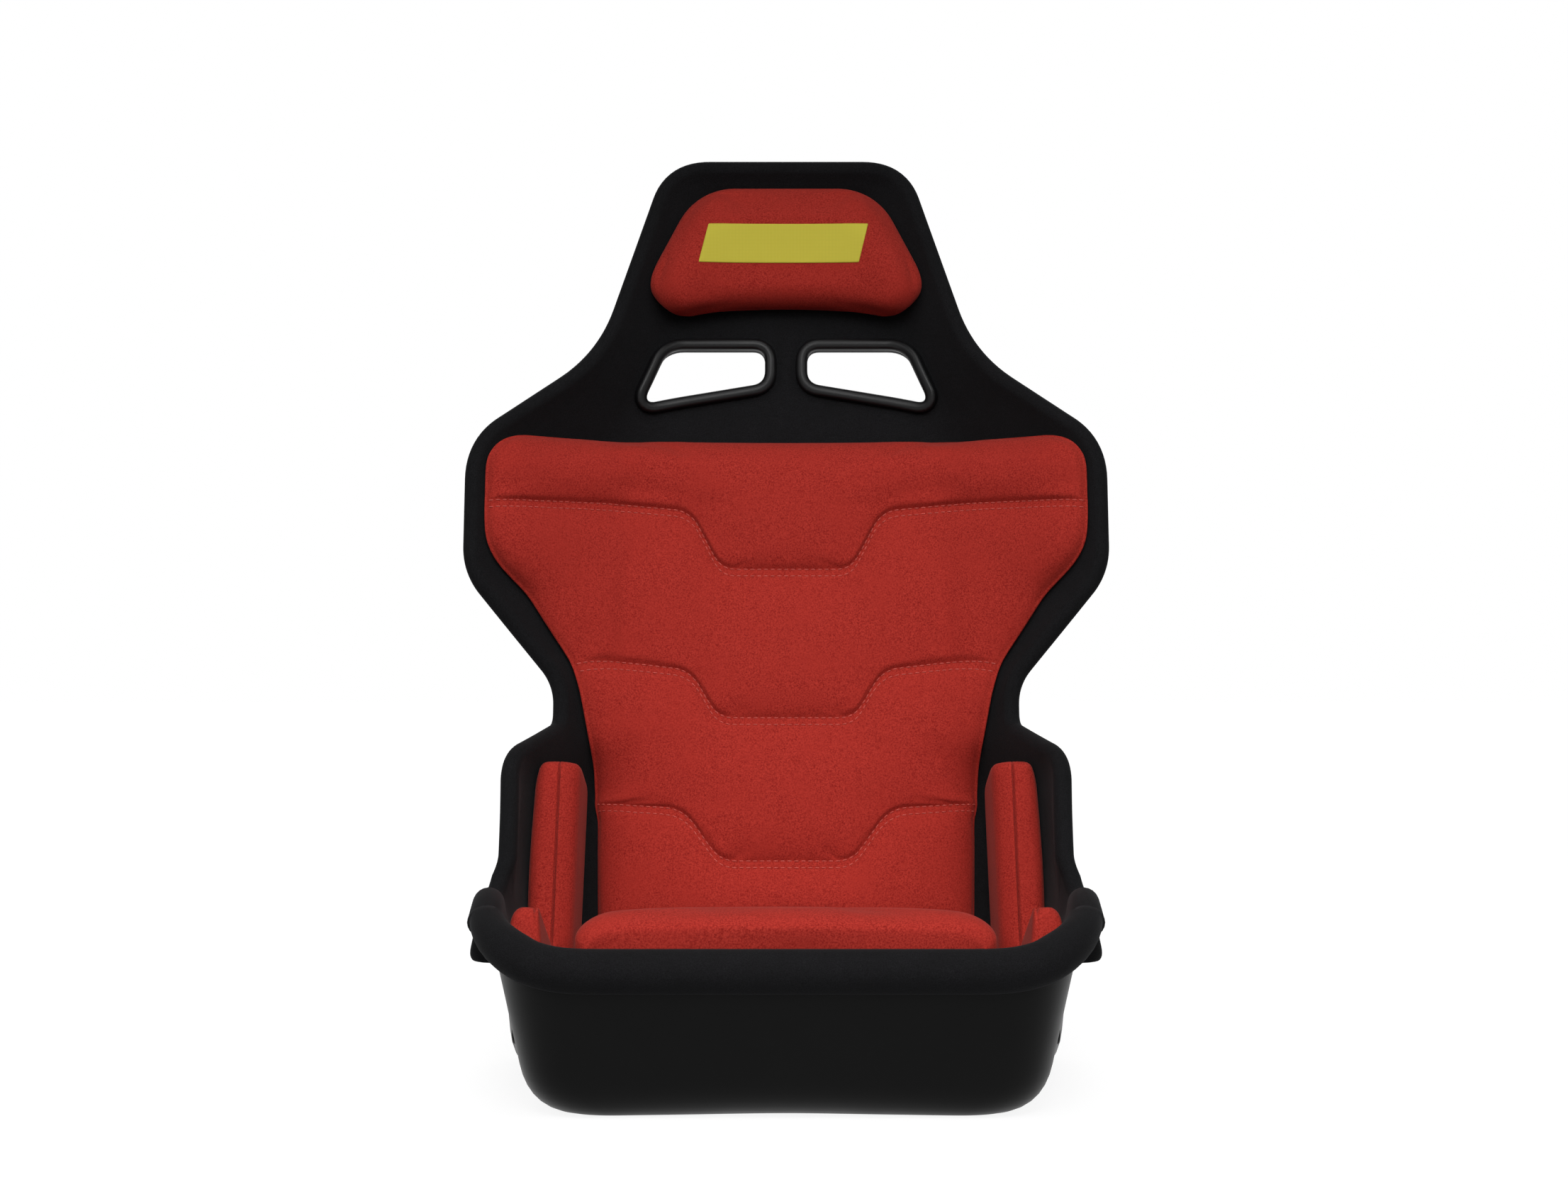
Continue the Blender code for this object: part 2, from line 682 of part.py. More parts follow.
def make_grommet(shell, cover, parts, cutters, material):
    """The crotch strap slot in the floor, and the grommet that lines it."""
    top = SHELL_WALL + COVER_FOAM + 2 * GAP
    hole = 2 * (GROMMET_WALL + GAP)
    outline = rectangle(CROTCH_WIDTH + hole, CROTCH_LENGTH + hole, CROTCH_CORNER, 0)
    cutter = prism("crotch_cutter", outline, Vector((0, 0, 2 * top)), cutters)
    hide_guide(cutter)
    cut(shell, cutter)
    cut(cover, cutter)
    wall = 2 * GROMMET_WALL
    flange = wall + 2 * GROMMET_FLANGE
    rings = [
        rectangle(CROTCH_WIDTH + grow, CROTCH_LENGTH + grow, CROTCH_CORNER + grow / 4, height)
        for grow, height in (
            (0, GAP), (0, top + GROMMET_LIP), (flange, top + GROMMET_LIP),
            (flange, top), (wall, top), (wall, GAP),
        )
    ]
    loft("crotch_grommet", rings, parts, material, closed=True)


def disc(centre, radius, steps=16):
    """A ring of points round a centre, square to X."""
    ring = []
    for step in range(steps):
        angle = 2 * math.pi * step / steps
        ring.append(centre + Vector((0, radius * math.cos(angle), radius * math.sin(angle))))
    return ring


def make_mounts(shell, cover, outer_tree, parts, cutters, material):
    """Flat bosses on the tub's sides, each with a threaded insert."""
    reach = MOUNT_SPACING / 2
    for place, half, offset in (("front", FRONT_MOUNT_HALF, -reach), ("rear", REAR_MOUNT_HALF, reach)):
        for side, label in ((1, "left"), (-1, "right")):
            face = Vector((side * half, MOUNT_MIDDLE_Y + offset, MOUNT_HEIGHT))
            rim = disc(face, BOSS_RADIUS, 20)
            feet = []
            for point in rim:
                seat, _ = cast(outer_tree, point + Vector((side * 0.1, 0, 0)), (-side, 0, 0))
                feet.append(seat - Vector((side * SHELL_WALL / 2, 0, 0)))
            boss = loft(f"boss_{place}_{label}", [feet, rim], cutters)
            hide_guide(boss)
            cut(shell, boss, "UNION")
            hole = prism(
                f"insert_hole_{place}_{label}", disc(face, INSERT_RADIUS + GAP),
                Vector((INSERT_LENGTH + GAP, 0, 0)), cutters,
            )
            hide_guide(hole)
            cut(shell, hole)
            cut(cover, hole)
            inward = Vector((-side, 0, 0))
            rings = [
                disc(face + inward * THREAD_DEPTH, THREAD_RADIUS),
                disc(face, THREAD_RADIUS),
                disc(face, INSERT_RADIUS),
                disc(face + inward * INSERT_LENGTH, INSERT_RADIUS),
            ]
            loft(f"mount_insert_{place}_{label}", rings, parts, material)


def make_hems(outer_tree, sections, parts, material):
    """The cover's padded hem below each thigh bolster's rim, outside the tub."""
    stations = 9
    rims = [line[-1] for line in sections if line[-1].z < THIGH_PEAK_HEIGHT]
    for side, label in ((1, "left"), (-1, "right")):
        rings = []
        for station in range(stations):
            y = lerp(HEM_FRONT_Y, HEM_REAR_Y, station / (stations - 1))
            near = min(rims, key=lambda rim: abs(rim.y - y))
            top = min(near.z - SHELL_WALL, HEM_BOTTOM + HEM_DROP)
            ring = []
            for height, outer in ((HEM_BOTTOM, None), (top, None), (top, HEM_TOP_THICKNESS)):
                seat, _ = cast(outer_tree, (side, y, height), (-side, 0, 0))
                out = HEM_CLEAR if outer is None else outer
                ring.append(seat + Vector((side * out, 0, 0)))
            start = abs(ring[2].x)
            for out, down in ((0.7, 0.45), (1.0, 0.85), (0.9, 1.0)):
                ring.append(Vector((side * lerp(start, HEM_HALF, out), y, lerp(top, HEM_BOTTOM, down))))
            rings.append(ring)
        loft(f"cover_hem_{label}", rings, parts, material)


def half_at(outline, height):
    """Half width of an outline of half widths and heights, at a height."""
    widths = []
    for low, high in zip(outline, outline[1:]):
        if high.y - low.y < GAP / 10:
            widths += [end.x for end in (low, high) if abs(end.y - height) < GAP / 10]
        elif low.y <= height <= high.y:
            widths.append(lerp(low.x, high.x, (height - low.y) / (high.y - low.y)))
    return max(widths)


def side_outline(corners, blends):
    """A pad's side as a rounded line of half widths and heights, from bottom to top."""
    points = [Vector(corner) for corner in corners]
    return rounded_path(points, blends, (1,) * len(points), (5,) * len(points))


def evened(normals):
    """A grid of normals, each averaged with its neighbours a few times."""
    rows = len(normals)
    columns = len(normals[0])
    for _ in range(4):
        even = []
        for row in range(rows):
            line = []
            for column in range(columns):
                near = normals[row][column].copy()
                for other in (max(row - 1, 0), min(row + 1, rows - 1)):
                    near += normals[other][column]
                for other in (max(column - 1, 0), min(column + 1, columns - 1)):
                    near += normals[row][other]
                line.append(near.normalized())
            even.append(line)
        normals = even
    return normals


def raised_pad(name, tree, places, thickness, parts, material):
    """A stuffed pad on the back: places are its (x, height) grid, thickness how full it is there."""
    seats = [[cast(tree, (x, 0, height), (0, 1, 0)) for x, height in line] for line in places]
    under = [[point + normal * PAD_LIFT for point, normal in line] for line in seats]
    normals = evened([[normal for _, normal in line] for line in seats])
    over = []
    for points, ups, fills in zip(under, normals, thickness):
        over.append([point + up * fill for point, up, fill in zip(points, ups, fills)])
    return pad(name, under, over, PAD_SWELL, parts, material)


def fullness(distance):
    """How full a pad is at a distance from its sewn border."""
    share = min(max(distance / PAD_EDGE_ROUND, 0.0), 1.0)
    return lerp(PAD_EDGE_SHARE, 1.0, math.sqrt(1 - (1 - share) ** 2))


def make_head_pad(tree, parts, material):
    """The head pad: a crowned trapezium with rounded corners."""
    outline = side_outline(
        ((0, HEAD_PAD_BOTTOM), (HEAD_PAD_BOTTOM_HALF, HEAD_PAD_BOTTOM),
         (HEAD_PAD_TOP_HALF, HEAD_PAD_TOP), (0, HEAD_PAD_TOP)),
        (0, HEAD_PAD_LOW_CORNER, HEAD_PAD_HIGH_CORNER, 0),
    )
    heights = [HEAD_PAD_TOP - inset for inset in (0, 0.0015, 0.006, 0.014, 0.030)]
    heights += [HEAD_PAD_BOTTOM + inset for inset in (0.060, 0.038, 0.022, 0.012, 0.005, 0.001, 0)]
    spreads = (0.0, 0.25, 0.5, 0.72, 0.88, 0.96, 1.0)
    spreads = [-spread for spread in spreads[:0:-1]] + list(spreads)
    places = []
    thickness = []
    for height in heights:
        half = half_at(outline, height)
        end = min(HEAD_PAD_TOP - height, height - HEAD_PAD_BOTTOM)
        places.append([(half * spread, height) for spread in spreads])
        thickness.append([
            HEAD_PAD_THICKNESS * fullness(min(end, half * (1 - abs(spread)))) for spread in spreads
        ])
    return raised_pad("head_pad", tree, places, thickness, parts, material)


def seam_height(seam, x):
    """Height of a step seam at a distance from the middle: high at the sides, low in the middle."""
    step = (SEAM_STEP_OUTER - abs(x)) / (SEAM_STEP_OUTER - SEAM_STEP_INNER)
    rise = (abs(x) - SEAM_STEP_OUTER) / (BACK_SHOULDER_HALF - SEAM_STEP_OUTER)
    drop = SEAM_DROPS[seam] * min(max(step, 0.0), 1.0)
    return SEAM_HEIGHTS[seam] - drop + SEAM_RISES[seam] * max(rise, 0.0)


def make_back_cushion(tree, parts, material):
    """The back cushion: four stuffed panels between three sewn step seams."""
    outline = side_outline(
        ((0, BACK_BOTTOM), (BACK_HIP_HALF, BACK_BOTTOM), (BACK_HIP_HALF, BACK_HIP_HEIGHT),
         (BACK_WAIST_HALF, BACK_WAIST_HEIGHT), (BACK_SHOULDER_HALF, BACK_SHOULDER_HEIGHT),
         (BACK_SHOULDER_HALF, BACK_TOP), (0, BACK_TOP)),
        (0, 0.010, 0.040, 0.060, 0.030, BACK_TOP_CORNER, 0),
    )
    edges = (BACK_TOP, *SEAM_HEIGHTS, BACK_BOTTOM)
    last = len(edges) - 2
    rows = [(0, 0.0, 0.0), (0, 0.0, -0.002), (0, 0.0, -0.007), (0, 0.0, -0.018), (0, 0.55, 0.0)]
    for panel in range(1, last + 1):
        rows += [(panel - 1, 1.0, SEAM_ROUND), (panel, 0.0, 0.0), (panel, 0.0, -SEAM_ROUND)]
        rows += [(panel, 0.35, 0.0), (panel, 0.68, 0.0)]
    rows += [(last, 1.0, 0.012), (last, 1.0, 0.004), (last, 1.0, 0.0)]
    steps = [SEAM_STEP_OUTER * share for share in (0.0, 0.24, 0.48, 0.74, 1.0)]
    outer = (0.30, 0.58, 0.80, 0.92, 0.98, 1.0)
    places = []
    thickness = []
    for panel, share, inset in rows:
        at_side = lerp(edges[panel], edges[panel + 1], share) + inset
        half = half_at(outline, at_side)
        columns = steps + [lerp(SEAM_STEP_OUTER, half, spread) for spread in outer]
        line = []
        fill = []
        for x in [-column for column in columns[:0:-1]] + columns:
            high = seam_height(panel - 1, x) if panel > 0 else BACK_TOP
            low = seam_height(panel, x) if panel < last else BACK_BOTTOM
            height = lerp(high, low, share) + inset
            full = fullness(min(BACK_TOP - height, height - BACK_BOTTOM, half - abs(x)))
            puff = BACK_PUFF * 4 * share * (1 - share)
            sewn = SEAM_DEPTH if panel > 0 and share == inset == 0.0 else 0.0
            line.append((x, height))
            fill.append((BACK_THICKNESS + puff - sewn) * full)
        places.append(line)
        thickness.append(fill)
    return raised_pad("back_cushion", tree, places, thickness, parts, material)


def seat_top(y):
    """Height of the seat cushion's top along the seat, rounded down at both ends."""
    length = SEAT_REAR_Y - SEAT_FRONT_Y
    slope = lerp(SEAT_FRONT_TOP, SEAT_REAR_TOP, ease((y - SEAT_FRONT_Y) / length))
    ends = [max(0.0, 1 - distance / SEAT_NOSE) for distance in (y - SEAT_FRONT_Y, SEAT_REAR_Y - y)]
    return slope - 0.5 * SEAT_NOSE * (ends[0] ** 2 + ends[1] ** 2)


def make_seat_cushion(tree, parts, cutters, material):
    """The seat cushion: thick at the front lip, thin at the back, with the crotch strap's slot."""
    rows = 11
    columns = 11
    under = []
    over = []
    for row in range(rows):
        along = 0.5 - 0.5 * math.cos(math.pi * row / (rows - 1))
        y = lerp(SEAT_FRONT_Y, SEAT_REAR_Y, along)
        low_line = []
        high_line = []
        for column in range(columns):
            across = 0.5 - 0.5 * math.cos(math.pi * column / (columns - 1))
            spread = 2 * across - 1
            x = spread * (SEAT_HALF - SEAT_CORNER if row in (0, rows - 1) else SEAT_HALF)
            point, _ = cast(tree, (x, y, SEAT_FRONT_TOP), (0, 0, -1))
            low_line.append(point + Vector((0, 0, PAD_LIFT)))
            fall = SEAT_CROWN * abs(spread) ** 3
            high_line.append(Vector((x, y, seat_top(y) - fall)))
        under.append(low_line)
        over.append(high_line)
    cushion = pad("seat_cushion", under, over, PAD_SWELL, parts, material)
    grow = 2 * (GROMMET_WALL + GROMMET_FLANGE) + CUSHION_SLOT_MARGIN - GROMMET_FLANGE
    outline = rectangle(CROTCH_WIDTH + grow, CROTCH_LENGTH + grow, CROTCH_CORNER, SEAT_FRONT_TOP / 2)
    cutter = prism("cushion_slot_cutter", outline, Vector((0, 0, SEAT_FRONT_TOP)), cutters)
    hide_guide(cutter)
    cut(cushion, cutter)
    return cushion


def side_pad_stations():
    """The side pad's ridge from the top of the hip, down to the corner and forward to the thigh."""
    top = Vector((PAD_RIDGE_HALF, PAD_TOP_Y, PAD_TOP_HEIGHT))
    corner = Vector((PAD_RIDGE_HALF, PAD_RIDGE_Y, PAD_CORNER_HEIGHT))
    front = Vector((PAD_RIDGE_HALF, PAD_FRONT_Y, PAD_FRONT_HEIGHT))
    blend = 0.022
    arrive = corner.lerp(top, blend / (top - corner).length)
    leave = corner.lerp(front, blend / (front - corner).length)
    path = [top.lerp(arrive, step / 7) for step in range(7)]
    path += bend(arrive, corner, leave, 4)
    path += [leave.lerp(front, step / 7) for step in range(1, 8)]
    return path


def pad_depth(tree, ridge, x, face, lift):
    """How deep the cover lies under the side pad's ridge at a distance from the middle."""
    start = Vector((x, ridge.y, ridge.z))
    point, _ = cast(tree, start, -face)
    return (point - start).length - lift


def pad_width(tree, ridge, depth, face, lift):
    """How far out the wall's cover is at a depth under the side pad's ridge."""
    start = Vector((0.5 * PAD_INNER_HALF, ridge.y, ridge.z)) - face * depth
    point, _ = cast(tree, start, (1, 0, 0))
    return point.x - lift


def make_side_pads(tree, parts, material):
    """The L-shaped pads that fill the corner beside each hip and thigh."""
    path = side_pad_stations()
    lift = SIDE_PAD_LIFT
    count = len(path)
    for side, label in ((1, "left"), (-1, "right")):
        rings = []
        for index, ridge in enumerate(path):
            along = path[min(index + 1, count - 1)] - path[max(index - 1, 0)]
            along.normalize()
            face = Vector((1, 0, 0)).cross(along).normalized()
            if face.y > 0 or face.z < 0:
                face = -face
            end = min(index, count - 1 - index)
            full = 1.0 if end > 1 else (0.72, 0.94)[end]
            depth = pad_depth(tree, ridge, PAD_INNER_HALF, face, lift)
            outer = pad_width(tree, ridge, 0.10 * depth, face, lift)
            under_x = lerp(PAD_INNER_HALF, outer, 0.40)
            under = pad_depth(tree, ridge, under_x, face, lift)
            shape = (
                (pad_width(tree, ridge, 0.45 * depth, face, lift), 0.45 * depth),
                (outer, 0.10 * depth), (lerp(outer, ridge.x, 0.25), 0.0),
                (ridge.x, 0.0), (lerp(ridge.x, PAD_INNER_HALF, 0.45), 0.30 * depth),
                (PAD_INNER_HALF, 0.72 * depth), (PAD_INNER_HALF, depth), (under_x, under),
            )
            centre_x = lerp(PAD_INNER_HALF, outer, 0.6)
            centre_depth = 0.5 * depth
            ring = []
            for x, sunk in shape:
                x = lerp(centre_x, x, full)
                sunk = lerp(centre_depth, sunk, full)
                ring.append(Vector((side * x, ridge.y, ridge.z)) - face * sunk)
            rings.append(ring)
        loft(f"side_pad_{label}", rings, parts, material)


def strip(name, centres, across, tree, direction, parts, material):
    """A hook strip laid on the cover along a line of points."""
    under = []
    over = []
    for centre in centres:
        low_line = []
        high_line = []
        for share in (-0.5, 0, 0.5):
            start = Vector(centre) + Vector(across) * share
            point, normal = cast(tree, start, direction)
            low_line.append(point + normal * GAP)
            high_line.append(point + normal * (GAP + STRIP_THICKNESS))
        under.append(low_line)
        over.append(high_line)
    pad(name, under, over, 0.0, parts, material)


def make_strips(tree, parts, material):
    """Hook strips between the cover and each pad."""
    steps = 5

    def run(start, end):
        return [Vector(start).lerp(Vector(end), step / (steps - 1)) for step in range(steps)]

    back = (0, 1, 0)
    head = lerp(HEAD_PAD_TOP, HEAD_PAD_BOTTOM, 0.5)
    reach = HEAD_STRIP_LENGTH / 2
    line = run((-reach, 0, head), (reach, 0, head))
    strip("head_hook_strip", line, (0, 0, STRIP_WIDTH), tree, back, parts, material)
    across = (STRIP_WIDTH, 0, 0)
    for side, label in ((1, "left"), (-1, "right")):
        x = side * STRIP_HALF
        line = run((x, 0, BACK_STRIP_BOTTOM), (x, 0, BACK_STRIP_BOTTOM + BACK_STRIP_LENGTH))
        strip(f"back_hook_strip_{label}", line, across, tree, back, parts, material)
        line = run((x, CROTCH_Y, SEAT_FRONT_TOP), (x, CROTCH_Y + SEAT_STRIP_LENGTH, SEAT_FRONT_TOP))
        strip(f"seat_hook_strip_{label}", line, across, tree, (0, 0, -1), parts, material)


def main():
    """Build the seat piece by piece."""
    clear_scene()
    parts = new_collection("racing_seat")
    cutters = new_collection("cutters_and_guides")
    velour = make_material("velour_black", VELOUR_BLACK, 0.9)
    suede = make_material("suede_red", SUEDE_RED, 0.85)
    gelcoat = make_material("gelcoat_black", GELCOAT_BLACK, 0.35)
    plastic = make_material("plastic_black", PLASTIC_BLACK, 0.45)
    steel = make_material("zinc_steel", STEEL, 0.35, 1.0)
    hook = make_material("hook_tape", PLASTIC_BLACK, 0.8)

    sections = tub_sections()
    shell = half_surface("shell", sections, parts, gelcoat)
    thicken(shell, SHELL_WALL, -1)
    covers = make_covers(sections, parts, velour)
    cover_face = offset_guide("cover_face", sections, COVER_FOAM + GAP, cutters)
    face_tree = surface_tree(cover_face)
    outer_tree = surface_tree(offset_guide("tub_outside", sections, -SHELL_WALL, cutters))

    edge_rolls(sections, cover_face, parts, velour)
    make_hems(outer_tree, sections, parts, velour)
    make_mounts(shell, covers[0], outer_tree, parts, cutters, steel)
    make_slots(shell, covers, face_tree, outer_tree, parts, cutters, plastic)
    make_grommet(shell, covers[0], parts, cutters, plastic)
    make_head_pad(face_tree, parts, suede)
    make_back_cushion(face_tree, parts, suede)
    make_seat_cushion(face_tree, parts, cutters, suede)
    make_side_pads(face_tree, parts, suede)
    make_strips(face_tree, parts, hook)


main()
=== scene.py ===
"""Dresses the fixed-back competition seat: tub, velour lining, sewn red pads and belt slots."""

import logging
import math
from dataclasses import dataclass, field
from enum import Enum
from typing import Any, Sequence

import bmesh
import bpy
import numpy as np
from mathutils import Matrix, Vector
from mathutils.bvhtree import BVHTree


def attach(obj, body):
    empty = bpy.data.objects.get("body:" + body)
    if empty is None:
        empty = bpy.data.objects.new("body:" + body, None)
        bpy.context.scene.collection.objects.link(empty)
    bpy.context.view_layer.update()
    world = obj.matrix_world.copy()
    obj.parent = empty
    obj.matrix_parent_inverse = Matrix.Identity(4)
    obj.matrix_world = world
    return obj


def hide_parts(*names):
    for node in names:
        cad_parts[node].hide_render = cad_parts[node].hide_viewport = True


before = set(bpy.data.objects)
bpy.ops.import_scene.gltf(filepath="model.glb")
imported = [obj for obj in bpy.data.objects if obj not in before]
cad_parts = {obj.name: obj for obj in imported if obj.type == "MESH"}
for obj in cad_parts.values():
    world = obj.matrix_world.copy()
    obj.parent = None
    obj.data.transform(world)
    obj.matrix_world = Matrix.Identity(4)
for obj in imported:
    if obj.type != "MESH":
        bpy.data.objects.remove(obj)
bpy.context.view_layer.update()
LOG = logging.getLogger("seat")

Array = np.ndarray
Object = bpy.types.Object
Material = bpy.types.Material
Tree = bpy.types.NodeTree
MIRROR = np.array((-1.0, 1.0, 1.0))
PHOTO_WIDTH = 2212
# Air between pieces that lie on each other, in metres.
GAP = 0.0003
# Points closer than this are one: where a grid meets its mirror image, and along a cut.
SEAM_WELD = 0.00001
CUT_WELD = 0.000004
# How far the back leans for each metre up.
RECLINE = math.tan(math.radians(13.5))
# Angles in degrees above which an edge stays crisp: on hard parts, on cloth, and nowhere.
HARD_CREASE = 40.0
CLOTH_CREASE = 50.0
NO_CREASE = 180.0
# Most of a side that a corner's rounding may take, on an open line and on a closed outline.
LINE_SHARE = 0.45
OUTLINE_SHARE = 0.48
# Distances from a pad's border at which its grid has points.
BORDER_STEPS = (0.0, 0.0004, 0.0012, 0.0025, 0.0045, 0.0075, 0.012)
# Directions in which points are dropped onto a surface.
REARWARDS = (0, 1, 0)
DOWNWARDS = (0, 0, -1)


class Side(Enum):
    """The sitter's two sides, by the sign of X."""

    LEFT = 1
    RIGHT = -1

    @property
    def label(self) -> str:
        """The side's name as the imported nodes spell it."""
        return self.name.lower()

    def placed(self, points: Any) -> np.ndarray:
        """Points given for the sitter's left, on this side."""
        return np.asarray(points) * (self.value, 1, 1)


def linear(code: str) -> tuple[float, float, float, float]:
    """An sRGB hex colour as linear values.

    Args:
        code: Colour as #RRGGBB.

    Returns:
        Linear red, green, blue and an alpha of 1.
    """
    values = [int(code[start:start + 2], 16) / 255 for start in (1, 3, 5)]
    channels = [v / 12.92 if v <= 0.04045 else ((v + 0.055) / 1.055) ** 2.4 for v in values]
    return (channels[0], channels[1], channels[2], 1.0)


def feed(tree: Tree, node: Any, inputs: dict) -> None:
    """Set or link a node's inputs.

    Args:
        tree: Node tree that holds the node.
        node: Node to feed.
        inputs: Values or sockets for its inputs, by name or number.
    """
    for name, value in inputs.items():
        if isinstance(value, bpy.types.NodeSocket):
            tree.links.new(value, node.inputs[name])
        else:
            node.inputs[name].default_value = value


def add(tree: Tree, kind: str, settings: dict | None = None, inputs: dict | None = None) -> Any:
    """Add a node with its settings, values and links.

    Args:
        tree: Node tree that takes the node.
        kind: Node type.
        settings: Attributes of the node.
        inputs: Values or sockets for the node's inputs, by name or number.

    Returns:
        The new node.
    """
    node = tree.nodes.new(kind)
    for name, value in (settings or {}).items():
        setattr(node, name, value)
    feed(tree, node, inputs or {})
    return node


def per_metre(millimetres: float) -> float:
    """Texture scale whose features are about so many millimetres wide."""
    return 1000.0 / millimetres


@dataclass(frozen=True)
class Finish:
    """A surface finish: a material name and the record's slot it stands for."""

    name: str
    slot: str

    def dress(self, tree: Tree, shader: Any, place: Any) -> None:
        """Fill the material's tree; each finish has its own.

        Args:
            tree: Node tree of the material.
            shader: Its Principled BSDF node.
            place: Socket of Object coordinates.
        """

    def material(self) -> Material:
        """The finish's material, made once.

        Returns:
            The material.
        """
        made = bpy.data.materials.get(self.name)
        if made:
            return made
        made = bpy.data.materials.new(self.name)
        made.use_nodes = True
        tree = made.node_tree
        place = add(tree, "ShaderNodeTexCoord").outputs["Object"]
        self.dress(tree, tree.nodes["Principled BSDF"], place)
        return made

    def on(self, item: Object) -> Object:
        """Give an object this finish alone."""
        item.data.materials.clear()
        item.data.materials.append(self.material())
        return item


@dataclass(frozen=True)
class PileFabric(Finish):
    """A brushed or short-pile cloth: mottled nap, soft sheen at grazing light, no gloss."""

    deep: str = "#000000"
    nap: str = "#000000"
    rubbed: str = "#000000"
    fibre_mm: float = 1.0
    patch_mm: float = 30.0
    sheen: float = 0.2
    sheen_colour: str = "#FFFFFF"
    sheen_roughness: float = 0.4
    relief_mm: float = 0.25

    def dress(self, tree: Tree, shader: Any, place: Any) -> None:
        """Fibre mottling over wider rubbed patches, with the fibres in relief.

        Args:
            tree: Node tree of the material.
            shader: Its Principled BSDF node.
            place: Socket of Object coordinates.
        """
        # Real pile is about 0.3 mm; it is drawn at fibre_mm so that its fleck shows in a picture.
        fibre = add(tree, "ShaderNodeTexNoise", inputs={
            "Vector": place, "Scale": per_metre(self.fibre_mm), "Detail": 3.0, "Roughness": 0.65})
        fleck = add(tree, "ShaderNodeMapRange", inputs={
            "Value": fibre.outputs["Fac"], "From Min": 0.30, "From Max": 0.70})
        patch = add(tree, "ShaderNodeTexNoise", inputs={
            "Vector": place, "Scale": per_metre(self.patch_mm), "Detail": 4.0, "Roughness": 0.6})
        worn = add(tree, "ShaderNodeMapRange", inputs={
            "Value": patch.outputs["Fac"], "From Min": 0.42, "From Max": 0.72, "To Max": 0.55})
        nap = add(tree, "ShaderNodeMix", {"data_type": "RGBA"}, {
            0: fleck.outputs["Result"], 6: linear(self.deep), 7: linear(self.nap)})
        colour = add(tree, "ShaderNodeMix", {"data_type": "RGBA"}, {
            0: worn.outputs["Result"], 6: nap.outputs[2], 7: linear(self.rubbed)})
        bump = add(tree, "ShaderNodeBump", inputs={
            "Height": fibre.outputs["Fac"], "Distance": self.relief_mm / 1000, "Strength": 0.8})
        feed(tree, shader, {
            "Base Color": colour.outputs[2], "Normal": bump.outputs["Normal"],
            "Roughness": 0.92, "Specular IOR Level": 0.15, "Sheen Weight": self.sheen,
            "Sheen Roughness": self.sheen_roughness, "Sheen Tint": linear(self.sheen_colour)})


@dataclass(frozen=True)
class SmoothCoat(Finish):
    """A moulded or coated hard surface: even colour, slight waviness and a soft gloss."""

    base: str = "#000000"
    dust: str = "#000000"
    roughness: float = 0.3
    spread: float = 0.1
    grain_mm: float = 1.0
    relief_mm: float = 0.02
    specular: float = 0.5
    metallic: float = 0.0
    cloud_mm: float = 60.0

    def dress(self, tree: Tree, shader: Any, place: Any) -> None:
        """Grain in relief, with gloss and colour that vary gently.

        Args:
            tree: Node tree of the material.
            shader: Its Principled BSDF node.
            place: Socket of Object coordinates.
        """
        grain = add(tree, "ShaderNodeTexNoise", inputs={
            "Vector": place, "Scale": per_metre(self.grain_mm), "Detail": 2.0})
        cloud = add(tree, "ShaderNodeTexNoise", inputs={
            "Vector": place, "Scale": per_metre(self.cloud_mm), "Detail": 5.0, "Roughness": 0.6})
        gloss = add(tree, "ShaderNodeMapRange", inputs={
            "Value": cloud.outputs["Fac"], "From Min": 0.3, "From Max": 0.7,
            "To Min": self.roughness - self.spread / 2, "To Max": self.roughness + self.spread / 2})
        film = add(tree, "ShaderNodeMapRange", inputs={
            "Value": cloud.outputs["Fac"], "From Min": 0.45, "From Max": 0.75, "To Max": 0.5})
        colour = add(tree, "ShaderNodeMix", {"data_type": "RGBA"}, {
            0: film.outputs["Result"], 6: linear(self.base), 7: linear(self.dust)})
        bump = add(tree, "ShaderNodeBump", inputs={
            "Height": grain.outputs["Fac"], "Distance": self.relief_mm / 1000, "Strength": 0.5})
        feed(tree, shader, {
            "Base Color": colour.outputs[2], "Roughness": gloss.outputs["Result"],
            "Normal": bump.outputs["Normal"], "Metallic": self.metallic,
            "Specular IOR Level": self.specular})


